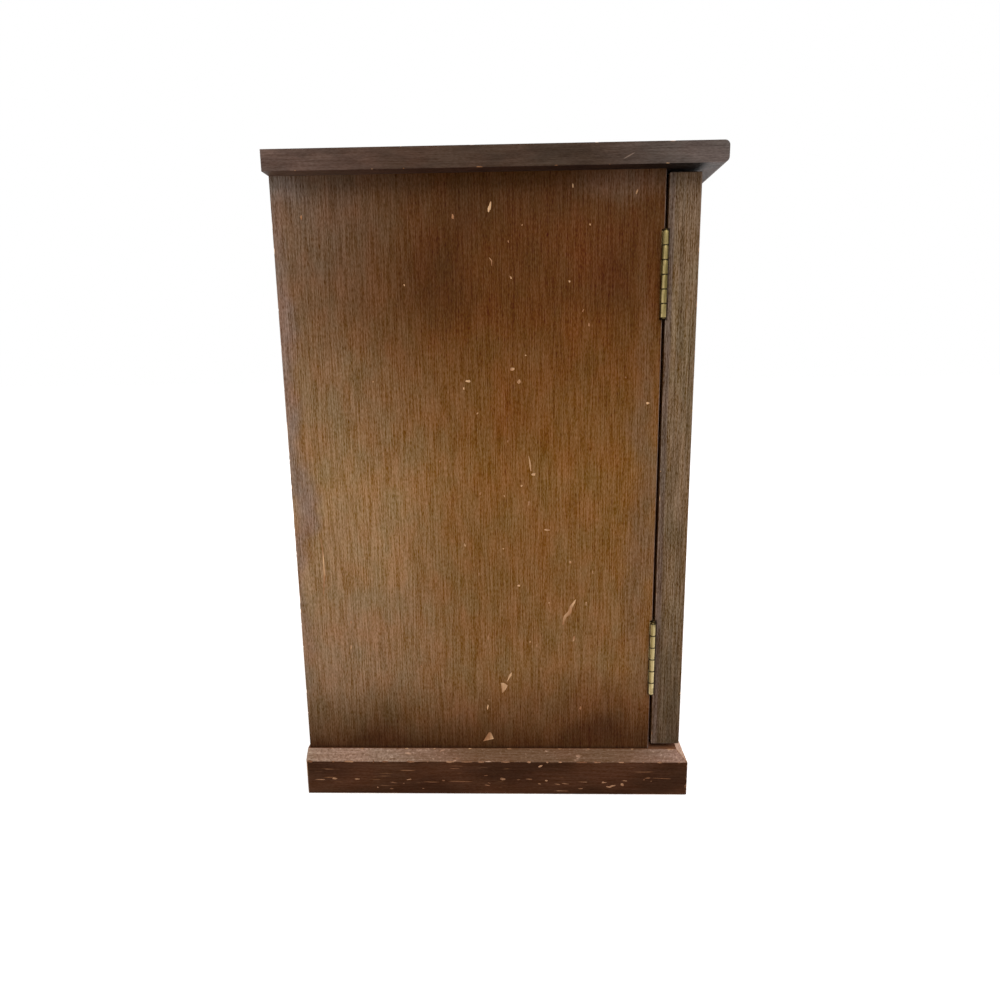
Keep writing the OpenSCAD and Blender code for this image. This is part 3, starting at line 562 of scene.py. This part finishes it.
def scratches(cutter, dice, place, lines):
    """Adds scratches to a cutter. Each is its width and the points that it runs through, in millimetres."""
    clear = 0.25
    deep = 0.16
    for width, points in lines:
        points = [Vector(p) for p in points]
        left, right = [], []
        for k, point in enumerate(points):
            run = (points[min(k + 1, len(points) - 1)] - points[max(k - 1, 0)]).normalized()
            side = Vector((-run.y, run.x))
            share = 0.3 if k in (0, len(points) - 1) else dice.uniform(0.8, 1.2)
            left.append((point, side * share * width / 2))
            right.insert(0, (point, -side * share * width / 2))
        cut_shape(cutter, [place(*(point + off * 1.6), clear) for point, off in left + right],
                  [place(*(point + off * 0.7), -deep) for point, off in left + right])


def tears(cutter, place, outlines):
    """Adds larger torn patches to a cutter, each along its own outline in millimetres."""
    clear = 0.15
    deep = 0.25
    for outline in outlines:
        middle = sum((Vector(p) for p in outline), Vector((0, 0))) / len(outline)
        inner = [middle + (Vector(p) - middle) * 0.86 for p in outline]
        cut_shape(cutter, [place(*p, clear) for p in outline], [place(*p, -deep) for p in inner])


# The wear of the left side. Places are distances from its back edge and heights above the floor. The
# dark cloud low down by the front is painted shade.
left_clouds = [
    (2, 250, 12, 250, (124, 102, 92), 0.8),
    (6, 404, 30, 14, (128, 110, 100), 0.7),
    (100, 345, 34, 42, (62, 36, 14), 0.55),
    (118, 382, 28, 30, (66, 40, 20), 0.5),
    (205, 350, 24, 28, (62, 32, 10), 0.5),
    (186, 362, 36, 32, (96, 52, 20), 0.45),
    (140, 262, 24, 40, (110, 62, 22), 0.5),
    (184, 312, 32, 26, (102, 60, 20), 0.5),
    (60, 180, 30, 60, (142, 110, 76), 0.5),
    (228, 200, 12, 200, (104, 80, 60), 0.6),
    (212, 402, 46, 20, (106, 78, 60), 0.75),
    (200, 42, 34, 14, (56, 26, 6), 0.6),
    (150, 100, 40, 30, (122, 88, 54), 0.5)]
left_chips = [
    (110, 384, 1.5, 3, 0), (18, 385, 1.2, 3, 0), (182, 400, 1, 3, 0), (220, 396, 1, 3, 20),
    (145, 293, 3, 2, 0), (149, 285, 2, 3, 0), (117, 286, 3, 1.5, 0), (158, 226, 3, 1.5, -10),
    (155, 207, 1, 3, 0), (167, 189, 3.5, 1.5, 0), (182, 167, 1.5, 2, 0), (197, 160, 0.8, 3.5, -10),
    (230, 271, 2, 1.5, 0), (34, 125, 1, 3, 0), (33, 107, 0.8, 3.5, 5), (148, 151, 2, 1.3, 0),
    (127, 114, 1, 4, 0), (193, 138, 1, 3, 0), (185, 113, 1.5, 4.5, 8), (160, 108, 1, 2.5, 0),
    (126, 63, 1, 4, 10), (190, 62, 1.2, 2.5, 0)]
left_scratches = [
    (1.7, [(133, 392), (132, 388), (131.5, 386)]),
    (0.9, [(131.5, 360), (133, 358), (133, 355)]),
    (0.7, [(164.5, 302), (164, 293)]),
    (1.0, [(155, 238), (156, 232), (156.5, 228)]),
    (1.0, [(17, 184), (18, 172), (18, 158), (16.5, 145)]),
    (1.9, [(186, 141), (183, 136), (182, 132), (179, 129), (177.5, 123)])]
left_tears = [
    [(143, 89), (142.5, 86), (139, 81), (141, 87)],
    [(135, 81), (137.5, 81), (140, 79), (139, 76.5), (136, 73), (135.5, 77)],
    [(126.5, 44), (128, 43.5), (130, 38.5), (122, 36.5)]]
small_chips = 26

place = upright_face(side_low.x, side_high.y, -1)
cutter = bmesh.new()
dice = random.Random(12)
chips(cutter, dice, place, left_chips)
chips(cutter, dice, place, [(dice.triangular(6, 228, 165), dice.uniform(50, 402), dice.uniform(0.7, 1.2),
                             dice.uniform(0.9, 2.2), dice.uniform(-30, 30)) for k in range(small_chips)])
scratches(cutter, dice, place, left_scratches)
tears(cutter, place, left_tears)
arris_nicks(cutter, dice, place(0, 130, 0), place(0, 262, 0), 16, 14 * MM, 1.3 * MM)
arris_nicks(cutter, dice, place(0, 40, 0), place(0, 400, 0), 14, 6 * MM, 1.2 * MM)
stain = side_finish("left_side_stain", -1, side_high.y, side_low.y, left_clouds)
worn("left_side", "carcass", stain, cutter)

# The last cloud, dark and low down, is painted shade.
right_clouds = [
    (60, 330, 60, 50, (66, 40, 18), 0.5),
    (140, 250, 70, 60, (112, 70, 30), 0.5),
    (190, 340, 40, 50, (64, 34, 12), 0.5),
    (190, 120, 50, 60, (114, 80, 46), 0.5),
    (120, 60, 70, 24, (64, 36, 14), 0.5)]
right_chip_count = 34
right_low, right_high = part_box("right_side")
place = upright_face(right_high.x, right_high.y, 1)
cutter = bmesh.new()
dice = random.Random(57)
right_chips = [(dice.uniform(8, 228), dice.uniform(40, 400), dice.uniform(0.8, 1.8), dice.uniform(1, 3.2),
                dice.uniform(-20, 20)) for k in range(right_chip_count)]
chips(cutter, dice, place, right_chips)
arris_nicks(cutter, dice, place(0, 40, 0), place(0, 400, 0), 18, 8 * MM, 1.2 * MM)
stain = side_finish("right_side_stain", 1, right_high.y, right_low.y, right_clouds)
worn("right_side", "carcass", stain, cutter)


# The boards inside: the bottom, the shelf on its pins and the rails that carry the top, of solid wood,
# and a plywood back.
def inner_finish():
    finish = Finish("inner_stain", satin)
    drift = finish.noise((8, 30, 30), 3.0, 2.8).rise(0.35, 0.65)
    color = finish.mix(drift, srgb(132, 94, 60), srgb(156, 116, 76))
    color = finish.mix(arris_of(finish) * 0.4, color, srgb(170, 132, 94))
    return open_pored(finish, color, "x", 0.7, 0.5)


def plywood_finish():
    finish = Finish("back_plywood", satin)
    drift = finish.noise((30, 30, 6), 3.0, 1.4).rise(0.35, 0.65)
    color = finish.mix(drift, srgb(150, 112, 74), srgb(178, 138, 96))
    return open_pored(finish, color, "z", 0.7, 0.6)


def dress(material, *names):
    """Gives CAD nodes whose shape is right a finish."""
    for name in names:
        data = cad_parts[name].data
        data.materials.clear()
        data.materials.append(material)


dress(inner_finish(), "bottom_board", "top_front_rail", "top_back_rail", "shelf")
dress(plywood_finish(), "back_panel")


# The dowels: turned beech pegs, glued into the ends of the boards and of the plinth's rails. The wood
# round them hides them.
def dowel_finish():
    finish = Finish("beech", satin)
    flecks = finish.noise((400, 400, 120), 2.0, 2.0).rise(0.55, 0.7)
    color = finish.mix(flecks, srgb(206, 172, 128), srgb(168, 128, 88))
    return finish.shape(color, 0.6 + flecks * 0.1, flecks, 0.3)


dress(dowel_finish(), "case_dowels", "plinth_dowels")


# The top: a thin solid board that overhangs the sides and the doors, with its front arrises rounded.
# Its ends have gone a dull plum-brown, and lifting the cabinet by them has rubbed their lower edge.
# The ends grey towards the front with painted light, and the underside carries painted shade, darkest
# above the doors, with a pale grey at its front that is painted light.
# The ends' and the underside's colours, each after the distance from the back in millimetres. The ends' grey
# front is painted light. The underside's tones are painted shade, darkest above the door, and its last, pale
# grey stop is painted light.
end_tones = [(0, (90, 72, 64)), (80, (68, 50, 40)), (190, (60, 46, 36)), (272, (86, 76, 72))]
underside_shade_tones = [(0, (86, 66, 54)), (90, (64, 42, 32)), (250, (26, 18, 14)), (256, (30, 24, 22)),
               (261, (104, 96, 94))]


def top_finish(back):
    finish = Finish("top_stain", satin)
    drift = finish.noise((8, 14, 30), 3.0, 3.3).rise(0.35, 0.65)
    color = finish.mix(drift, srgb(92, 58, 34), srgb(118, 80, 48))
    across = back - finish.part(finish.place, "y")
    mottle = finish.noise((90, 40, 140), 4.0, 6.2, 0.6).rise(0.34, 0.64)
    ends = finish.scaled(finish.ramp(across, end_tones), 0.84 + mottle * 0.34)
    under = finish.scaled(finish.ramp(across, underside_shade_tones), 0.9 + mottle * 0.2)
    upward = finish.part(finish.facing, "z")
    sideways = abs(finish.part(finish.facing, "x")).rise(0.3, 0.6)
    color = finish.mix(upward.rise(0.9, 0.6), color, finish.mix(sideways, finish.scaled(color, 0.75), ends))
    # The underside takes its painted shade.
    color = finish.mix(upward.rise(-0.6, -0.9), color, under)
    worn_line = finish.noise((60, 60, 60), 3.0, 5.7).rise(0.4, 0.58)
    rub = arris_of(finish) * upward.rise(0.0, -0.3) * (0.25 + worn_line * 0.6)
    color = finish.mix(rub, color, srgb(134, 104, 84))
    # One pale scratch on the left end, by its middle, its lean, and half its length and its width.
    scratch = finish.node("ShaderNodeMapping", {"vector_type": "TEXTURE"},
                          {"Vector": finish.place, "Location": (0, back - 213.2 * MM, 413 * MM),
                           "Rotation": (math.radians(-27), 0, 0), "Scale": (1, 4.6 * MM, 0.45 * MM)})
    far = finish.node("ShaderNodeVectorMath", {"operation": "LENGTH"}, {0: scratch}, out="Value")
    left = finish.part(finish.facing, "x").rise(-0.6, -0.9)
    color = finish.mix(far.rise(1.0, 0.5) * left * 0.45, color, srgb(146, 126, 112))
    return open_pored(finish, color, "y", 0.5, 0.44)


top_low, top_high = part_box("top_board")
cutter = bmesh.new()
dice = random.Random(5)
for x in (top_low.x, top_high.x):
    for z, count in ((top_low.z, 7), (top_high.z, 5)):
        arris_nicks(cutter, dice, (x, top_low.y + 10 * MM, z), (x, top_high.y, z), count, 4 * MM, 0.8 * MM)
worn("top_board", "carcass", top_finish(top_high.y), cutter)


# The screws and nails: slotted wood screws hold the top and the plinth, and flat-headed nails hold the
# back. They are plated steel that has spotted.
class Maker(Graph):
    """A Geometry Nodes tree with named sizes, which makes a fixing at each point of a start mesh."""

    def __init__(self, name, sizes):
        super().__init__(bpy.data.node_groups.new(name, "GeometryNodeTree"))
        self.tree.interface.new_socket("Start", in_out="INPUT", socket_type="NodeSocketGeometry")
        for size in sizes:
            self.tree.interface.new_socket(size, in_out="INPUT", socket_type="NodeSocketFloat")
        self.tree.interface.new_socket("Seed", in_out="INPUT", socket_type="NodeSocketInt")
        self.tree.interface.new_socket("Shape", in_out="OUTPUT", socket_type="NodeSocketGeometry")

    def given(self, name):
        return self.node("NodeGroupInput", out=name)

    def spot(self, axis):
        return self.node("ShaderNodeSeparateXYZ", None, {0: self.node("GeometryNodeInputPosition")},
                         out="xyz".index(axis))

    def turned(self, sides, rings, length, depth, radius):
        """A rod with a ring of points every so often, moved to each ring's depth and radius."""
        rod = self.node("GeometryNodeMeshCylinder", {"fill_type": "NGON"},
                        {"Vertices": sides, "Side Segments": rings, "Radius": 1.0, "Depth": length})
        place = self.node("ShaderNodeCombineXYZ", None,
                          {0: self.spot("x") * radius, 1: self.spot("y") * radius, 2: depth})
        return self.node("GeometryNodeSetPosition", None, {"Geometry": rod, "Position": place})

    def fixed_with(self, fixing, metal):
        """Sets the fixing at every point of the start mesh, along its heading and turned by chance."""
        heading = self.node("GeometryNodeInputNamedAttribute", {"data_type": "FLOAT_VECTOR"},
                            {"Name": "heading"})
        aimed = self.node("FunctionNodeAlignRotationToVector", {"axis": "Z"}, {"Vector": heading})
        chance = self.node("FunctionNodeRandomValue", {"data_type": "FLOAT"},
                           {2: 0.0, 3: 2 * math.pi, 8: self.given("Seed")}, out=1)
        spin = self.node("FunctionNodeAxisAngleToRotation", None, {"Axis": (0, 0, 1), "Angle": chance})
        turned = self.node("FunctionNodeRotateRotation", {"rotation_space": "LOCAL"}, {0: aimed, 1: spin})
        copies = self.node("GeometryNodeInstanceOnPoints", None,
                           {"Points": self.given("Start"), "Instance": fixing, "Rotation": turned})
        whole = self.node("GeometryNodeRealizeInstances", None, {0: copies})
        plated = self.node("GeometryNodeSetMaterial", None, {"Geometry": whole, "Material": metal})
        self.node("NodeGroupOutput", None, {"Shape": plated})


def screw_maker(name, metal):
    """A countersunk wood screw: a slotted head, a plain shank, a thread and a point."""
    sizes = ("Length", "Head Width", "Shank Width", "Pitch", "Slot Width", "Slot Depth")
    maker = Maker(name, sizes)
    length, head, shank, pitch, slot_width, slot_depth = (maker.given(size) for size in sizes)
    rings_per_turn = 6
    depth = maker.spot("z") + length * 0.5
    angle = maker.spot("y").maths("ARCTAN2", maker.spot("y"), maker.spot("x"))
    turns = depth / pitch + angle / (2 * math.pi)
    groove = turns.maths("PINGPONG", turns, 0.5)
    threaded = ((depth - length * 0.35) / pitch).larger(0.0).smaller(1.0)
    body = shank * 0.5 * (1.0 - groove * threaded * 0.56)
    point = ((length - depth) / (shank * 1.4) + 0.06).smaller(1.0)
    radius = (head * 0.5 - depth).larger(body * point)
    blank = maker.turned(12, length / pitch * rings_per_turn, length, depth, radius)
    slot_size = maker.node("ShaderNodeCombineXYZ", None,
                           {0: head * 1.4, 1: slot_width, 2: slot_depth * 2.0})
    slot = maker.node("GeometryNodeMeshCube", None, {"Size": slot_size})
    slotted = maker.node("GeometryNodeMeshBoolean", {"operation": "DIFFERENCE", "solver": "EXACT"},
                         {0: blank, 1: slot})
    maker.fixed_with(slotted, metal)
    return maker.tree


def nail_maker(name, metal):
    """A nail with a flat head and a point, of a few rings."""
    sizes = ("Length", "Head Width", "Shank Width", "Head Depth")
    maker = Maker(name, sizes)
    length, head, shank, head_depth = (maker.given(size) for size in sizes)
    rings = 4
    ring = (maker.spot("z") / length + 0.5) * rings
    past = [(ring - start).larger(0.0).smaller(1.0) for start in range(rings)]
    point = shank * 1.2
    depth = past[0] * head_depth + past[2] * (length - head_depth - point) + past[3] * point
    radius = head * 0.5 - past[1] * (head - shank) * 0.5 - past[3] * shank * 0.45
    maker.fixed_with(maker.turned(8, rings, length, depth, radius), metal)
    return maker.tree


def fixings_of(node):
    """The head, the heading, the length and the head's width of each fixing in a CAD node."""
    solid = solid_copy(node)
    seen = set()
    found = []
    for start in solid.verts:
        if start in seen:
            continue
        seen.add(start)
        reached, points = [start], []
        while reached:
            vert = reached.pop()
            points.append(vert.co.copy())
            for edge in vert.link_edges:
                other = edge.other_vert(vert)
                if other not in seen:
                    seen.add(other)
                    reached.append(other)
        low = Vector([min(p[k] for p in points) for k in range(3)])
        high = Vector([max(p[k] for p in points) for k in range(3)])
        size = high - low
        axis = max(range(3), key=lambda k: size[k])
        middle = (low + high) / 2
        ends = []
        for end in (low[axis], high[axis]):
            spot = middle.copy()
            spot[axis] = end
            ends.append((max((p - spot).length for p in points if abs(p[axis] - end) < 0.1 * MM), spot))
        (reach, head), (_, tip) = sorted(ends, key=lambda each: -each[0])
        found.append((head, (tip - head).normalized(), size[axis], reach * 2))
    solid.free()
    return found


def drive(node, name, body, tree, sizes):
    """Stands one mesh of made fixings for a CAD node's plain ones, where they are."""
    found = fixings_of(node)
    start = bpy.data.meshes.new(name)
    start.from_pydata([head for head, heading, length, width in found], [], [])
    headings = start.attributes.new("heading", "FLOAT_VECTOR", "POINT")
    for k, (head, heading, length, width) in enumerate(found):
        headings.data[k].vector = heading
    maker = bpy.data.objects.new(name, start)
    bpy.context.scene.collection.objects.link(maker)
    modifier = maker.modifiers.new("fixings", "NODES")
    modifier.node_group = tree
    given = {"Length": found[0][2], "Head Width": found[0][3], "Seed": len(found), **sizes}
    for item in tree.interface.items_tree:
        if item.name in given:
            modifier[item.identifier] = given[item.name]
    result = bpy.data.meshes.new_from_object(maker.evaluated_get(bpy.context.evaluated_depsgraph_get()))
    bpy.data.objects.remove(maker)
    stand_for(node, name, result, body, metal_crease)


def metal_finish(name, clean, spotted, roughness):
    """Bare or plated metal with spots of tarnish."""
    finish = Finish(name, {"Metallic": 1.0})
    spots = finish.noise((500, 500, 500), 3.0, 1.1).rise(0.45, 0.65)
    color = finish.mix(spots, srgb(*clean), srgb(*spotted))
    return finish.shape(color, roughness + spots * 0.2, spots, 0.15, 0.02 * MM)


steel = metal_finish("plated_steel", (158, 156, 152), (124, 118, 110), 0.38)
steel_screws = screw_maker("steel_screw", steel)
large_screw = {"Shank Width": 3.6 * MM, "Pitch": 1.5 * MM, "Slot Width": 0.6 * MM, "Slot Depth": 0.5 * MM}
drive("top_screws", "top_screws_steel", "carcass", steel_screws, large_screw)
drive("plinth_screws", "plinth_screws_steel", "carcass", steel_screws, large_screw)
steel_nails = nail_maker("flat_nail", steel)
drive("back_nails", "back_nails_steel", "carcass", steel_nails,
      {"Shank Width": 1.4 * MM, "Head Depth": 0.8 * MM})


# The doors: thick flat boards with open-pored edges, hung outside the sides' front edges. Hands have
# greyed the arrises, and painted shade greys the back of each edge along the gap.
edge_tones = [(35, (74, 57, 41)), (140, (104, 82, 60)), (330, (108, 87, 64)), (406, (98, 78, 60))]


def door_finish(name, back):
    """The stain of a door. back is where the face towards the case lies."""
    finish = Finish(name, satin)
    drift = finish.noise((10, 10, 6), 3.0, 5.1).rise(0.35, 0.65)
    face = finish.mix(drift, srgb(100, 64, 36), srgb(122, 86, 50))
    edge = finish.ramp(finish.part(finish.place, "z"), edge_tones)
    behind = finish.part(finish.place, "y")
    streak = finish.noise(along_grain("z", 420, 16), 2.0, 6.4).rise(0.35, 0.65)
    edge = finish.scaled(edge, 0.86 + streak * 0.28)
    # A greyer band along the back of the edge, by the gap, is painted shade.
    edge = finish.mix(behind.rise(back - 4.6 * MM, back - 2.4 * MM) * 0.75, edge, srgb(88, 71, 62))
    flat = abs(finish.part(finish.facing, "y")).rise(0.6, 0.9)
    color = finish.mix(flat, edge, face)
    rub = arris_of(finish) * (0.3 + finish.noise((40, 40, 40), 3.0, 5.7).rise(0.42, 0.6) * 0.5)
    color = finish.mix(rub, color, srgb(128, 108, 94))
    # Dirt and painted shade darken the edge along the hinges.
    color = finish.mix(hinge_grime_and_shade(finish, back, 1.6 * MM) * 0.85, color, srgb(30, 20, 16))
    return open_pored(finish, color, "z", 1.25, 0.46)


for side in ("left", "right"):
    low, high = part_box(side + "_door")
    cutter = bmesh.new()
    dice = random.Random(len(side))
    outer = low.x if side == "left" else high.x
    for y in (low.y, high.y):
        arris_nicks(cutter, dice, (outer, y, low.z), (outer, y, high.z), 12, 5 * MM, 1.2 * MM)
    worn(side + "_door", side + "_door", door_finish(side + "_door_stain", high.y), cutter)


# The hinges: brass butts of six rolled knuckles on a pin, let into the doors and screwed to the front
# edges of the sides. The upper pair has dulled more than the lower.
knuckles = 6
knuckle_width = 3.8 * MM


def brass_finish(name, clean, dull, joints=None):
    """Dulled brass. joints are the lowest one's height and their distance, where dirt has gathered."""
    finish = Finish(name, {"Metallic": 0.85})
    streaks = finish.noise((900, 900, 22), 3.0, 3.7, 0.6).rise(0.38, 0.64)
    color = finish.mix(streaks, srgb(*clean), srgb(*dull))
    spots = finish.noise((420, 420, 260), 3.0, 8.1).rise(0.56, 0.68)
    color = finish.mix(spots * 0.5, color, srgb(92, 76, 40))
    if joints is not None:
        turn = (finish.part(finish.place, "z") - joints[0]) / joints[1]
        off = abs(turn.maths("FRACT", turn + 0.5) - 0.5)
        barrel = abs(finish.part(finish.place, "x")).rise(-side_low.x + 0.1 * MM, -side_low.x + 0.3 * MM)
        color = finish.mix(off.rise(0.075, 0.035) * barrel * 0.85, color, srgb(38, 30, 12))
        # A painted reflection: the knuckle's crown, facing straight out, is darkened towards the dull colour.
        painted_crown_reflection = abs(finish.part(finish.facing, "x")).rise(0.88, 0.98) * barrel
        color = finish.mix(painted_crown_reflection * 0.55, color, srgb(*dull))
        # Painted shade and reflection darken the knuckle's flanks, along with tarnish.
        flank_shade_and_tarnish = abs(finish.part(finish.facing, "y")).rise(0.8, 0.97) * barrel
        color = finish.mix(flank_shade_and_tarnish * 0.85, color, srgb(44, 34, 16))
    return finish.shape(color, 0.34 + streaks * 0.16, streaks, 0.2, 0.02 * MM)


def knuckled(node, pin, name):
    """A copy of a CAD hinge leaf whose knuckles have rounded ends."""
    solid = solid_copy(node)
    low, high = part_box(pin)
    ends = []
    for edge in solid.edges:
        flat = abs(edge.verts[0].co.z - edge.verts[1].co.z) < 0.01 * MM
        reaches = [(vert.co.xy - ((low + high) / 2).xy).length for vert in edge.verts]
        if flat and all(abs(reach - knuckle_width / 2) < 0.02 * MM for reach in reaches):
            ends.append(edge)
    bmesh.ops.bevel(solid, geom=ends, offset=0.3 * MM, segments=2, affect="EDGES", profile=0.5,
                    clamp_overlap=True)
    mesh = bpy.data.meshes.new(name)
    solid.to_mesh(mesh)
    return mesh


upper_brass = ((176, 156, 106), (92, 80, 38))
lower_brass = ((198, 178, 132), (128, 110, 66))
brass_screws = screw_maker("brass_screw", brass_finish("screw_brass", *upper_brass))
# The pins' visible ends are a dark brass: painted shade at the ends of the hinges.
pin_brass = brass_finish("pin_brass", (96, 80, 44), (52, 42, 22))
hinge_screw = {"Shank Width": 2.4 * MM, "Pitch": 1.0 * MM, "Slot Width": 0.6 * MM, "Slot Depth": 0.5 * MM}
drive("hinge_frame_screws", "hinge_frame_screws_brass", "carcass", brass_screws, hinge_screw)
for side in ("left", "right"):
    drive(side + "_door_hinge_screws", side + "_door_hinge_screws_brass", side + "_door",
          brass_screws, hinge_screw)
    for level, tones in (("upper", upper_brass), ("lower", lower_brass)):
        hinge = f"{side}_{level}"
        low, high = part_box(hinge + "_frame_leaf")
        skin = brass_finish(hinge + "_brass", *tones, (low.z, (high.z - low.z) / knuckles))
        for leaf, body in (("_frame_leaf", "carcass"), ("_door_leaf", side + "_door")):
            mesh = knuckled(hinge + leaf, hinge + "_hinge_pin", hinge + leaf + "_brass")
            mesh.materials.append(skin)
            stand_for(hinge + leaf, hinge + leaf + "_brass", mesh, body, metal_crease)
    dress(pin_brass, side + "_upper_hinge_pin", side + "_lower_hinge_pin")


# The knobs and the shelf pins: turned brass, as bright as the lower hinges. A steel screw holds each
# knob from inside its door.
turned_brass = brass_finish("turned_brass", *lower_brass)
dress(turned_brass, "left_knob", "right_knob", "shelf_pins")
dress(steel, "left_knob_screw", "right_knob_screw")


# The catches: moulded housings with a ferrite magnet between two steel pole plates, screwed under the
# front rail, and steel strike plates on the doors.
def moulded_finish():
    finish = Finish("brown_plastic", {"Specular IOR Level": 0.4})
    cloudy = finish.noise((300, 300, 300), 3.0, 2.5)
    color = finish.mix(cloudy.rise(0.35, 0.65), srgb(58, 38, 26), srgb(70, 46, 32))
    return finish.shape(color, 0.4 + cloudy * 0.15, finish.noise((3000, 3000, 3000), 1.0), 0.2, 0.03 * MM)


def ferrite_finish():
    finish = Finish("ferrite", satin)
    grit = finish.noise((1500, 1500, 1500), 2.0, 6.1)
    color = finish.mix(grit.rise(0.35, 0.65), srgb(44, 44, 46), srgb(66, 66, 70))
    return finish.shape(color, 0.55 + grit * 0.2, grit, 0.4, 0.05 * MM)


dress(moulded_finish(), "left_catch_housing", "right_catch_housing")
dress(ferrite_finish(), "left_catch_magnet", "right_catch_magnet")
dress(steel, "left_catch_poles", "right_catch_poles", "left_strike_plate", "right_strike_plate")
small_screw = {"Shank Width": 2.8 * MM, "Pitch": 1.2 * MM, "Slot Width": 0.6 * MM, "Slot Depth": 0.5 * MM}
drive("catch_screws", "catch_screws_steel", "carcass", steel_screws, small_screw)
for side in ("left", "right"):
    drive(side + "_strike_screw", side + "_strike_screw_steel", side + "_door", steel_screws,
          small_screw)
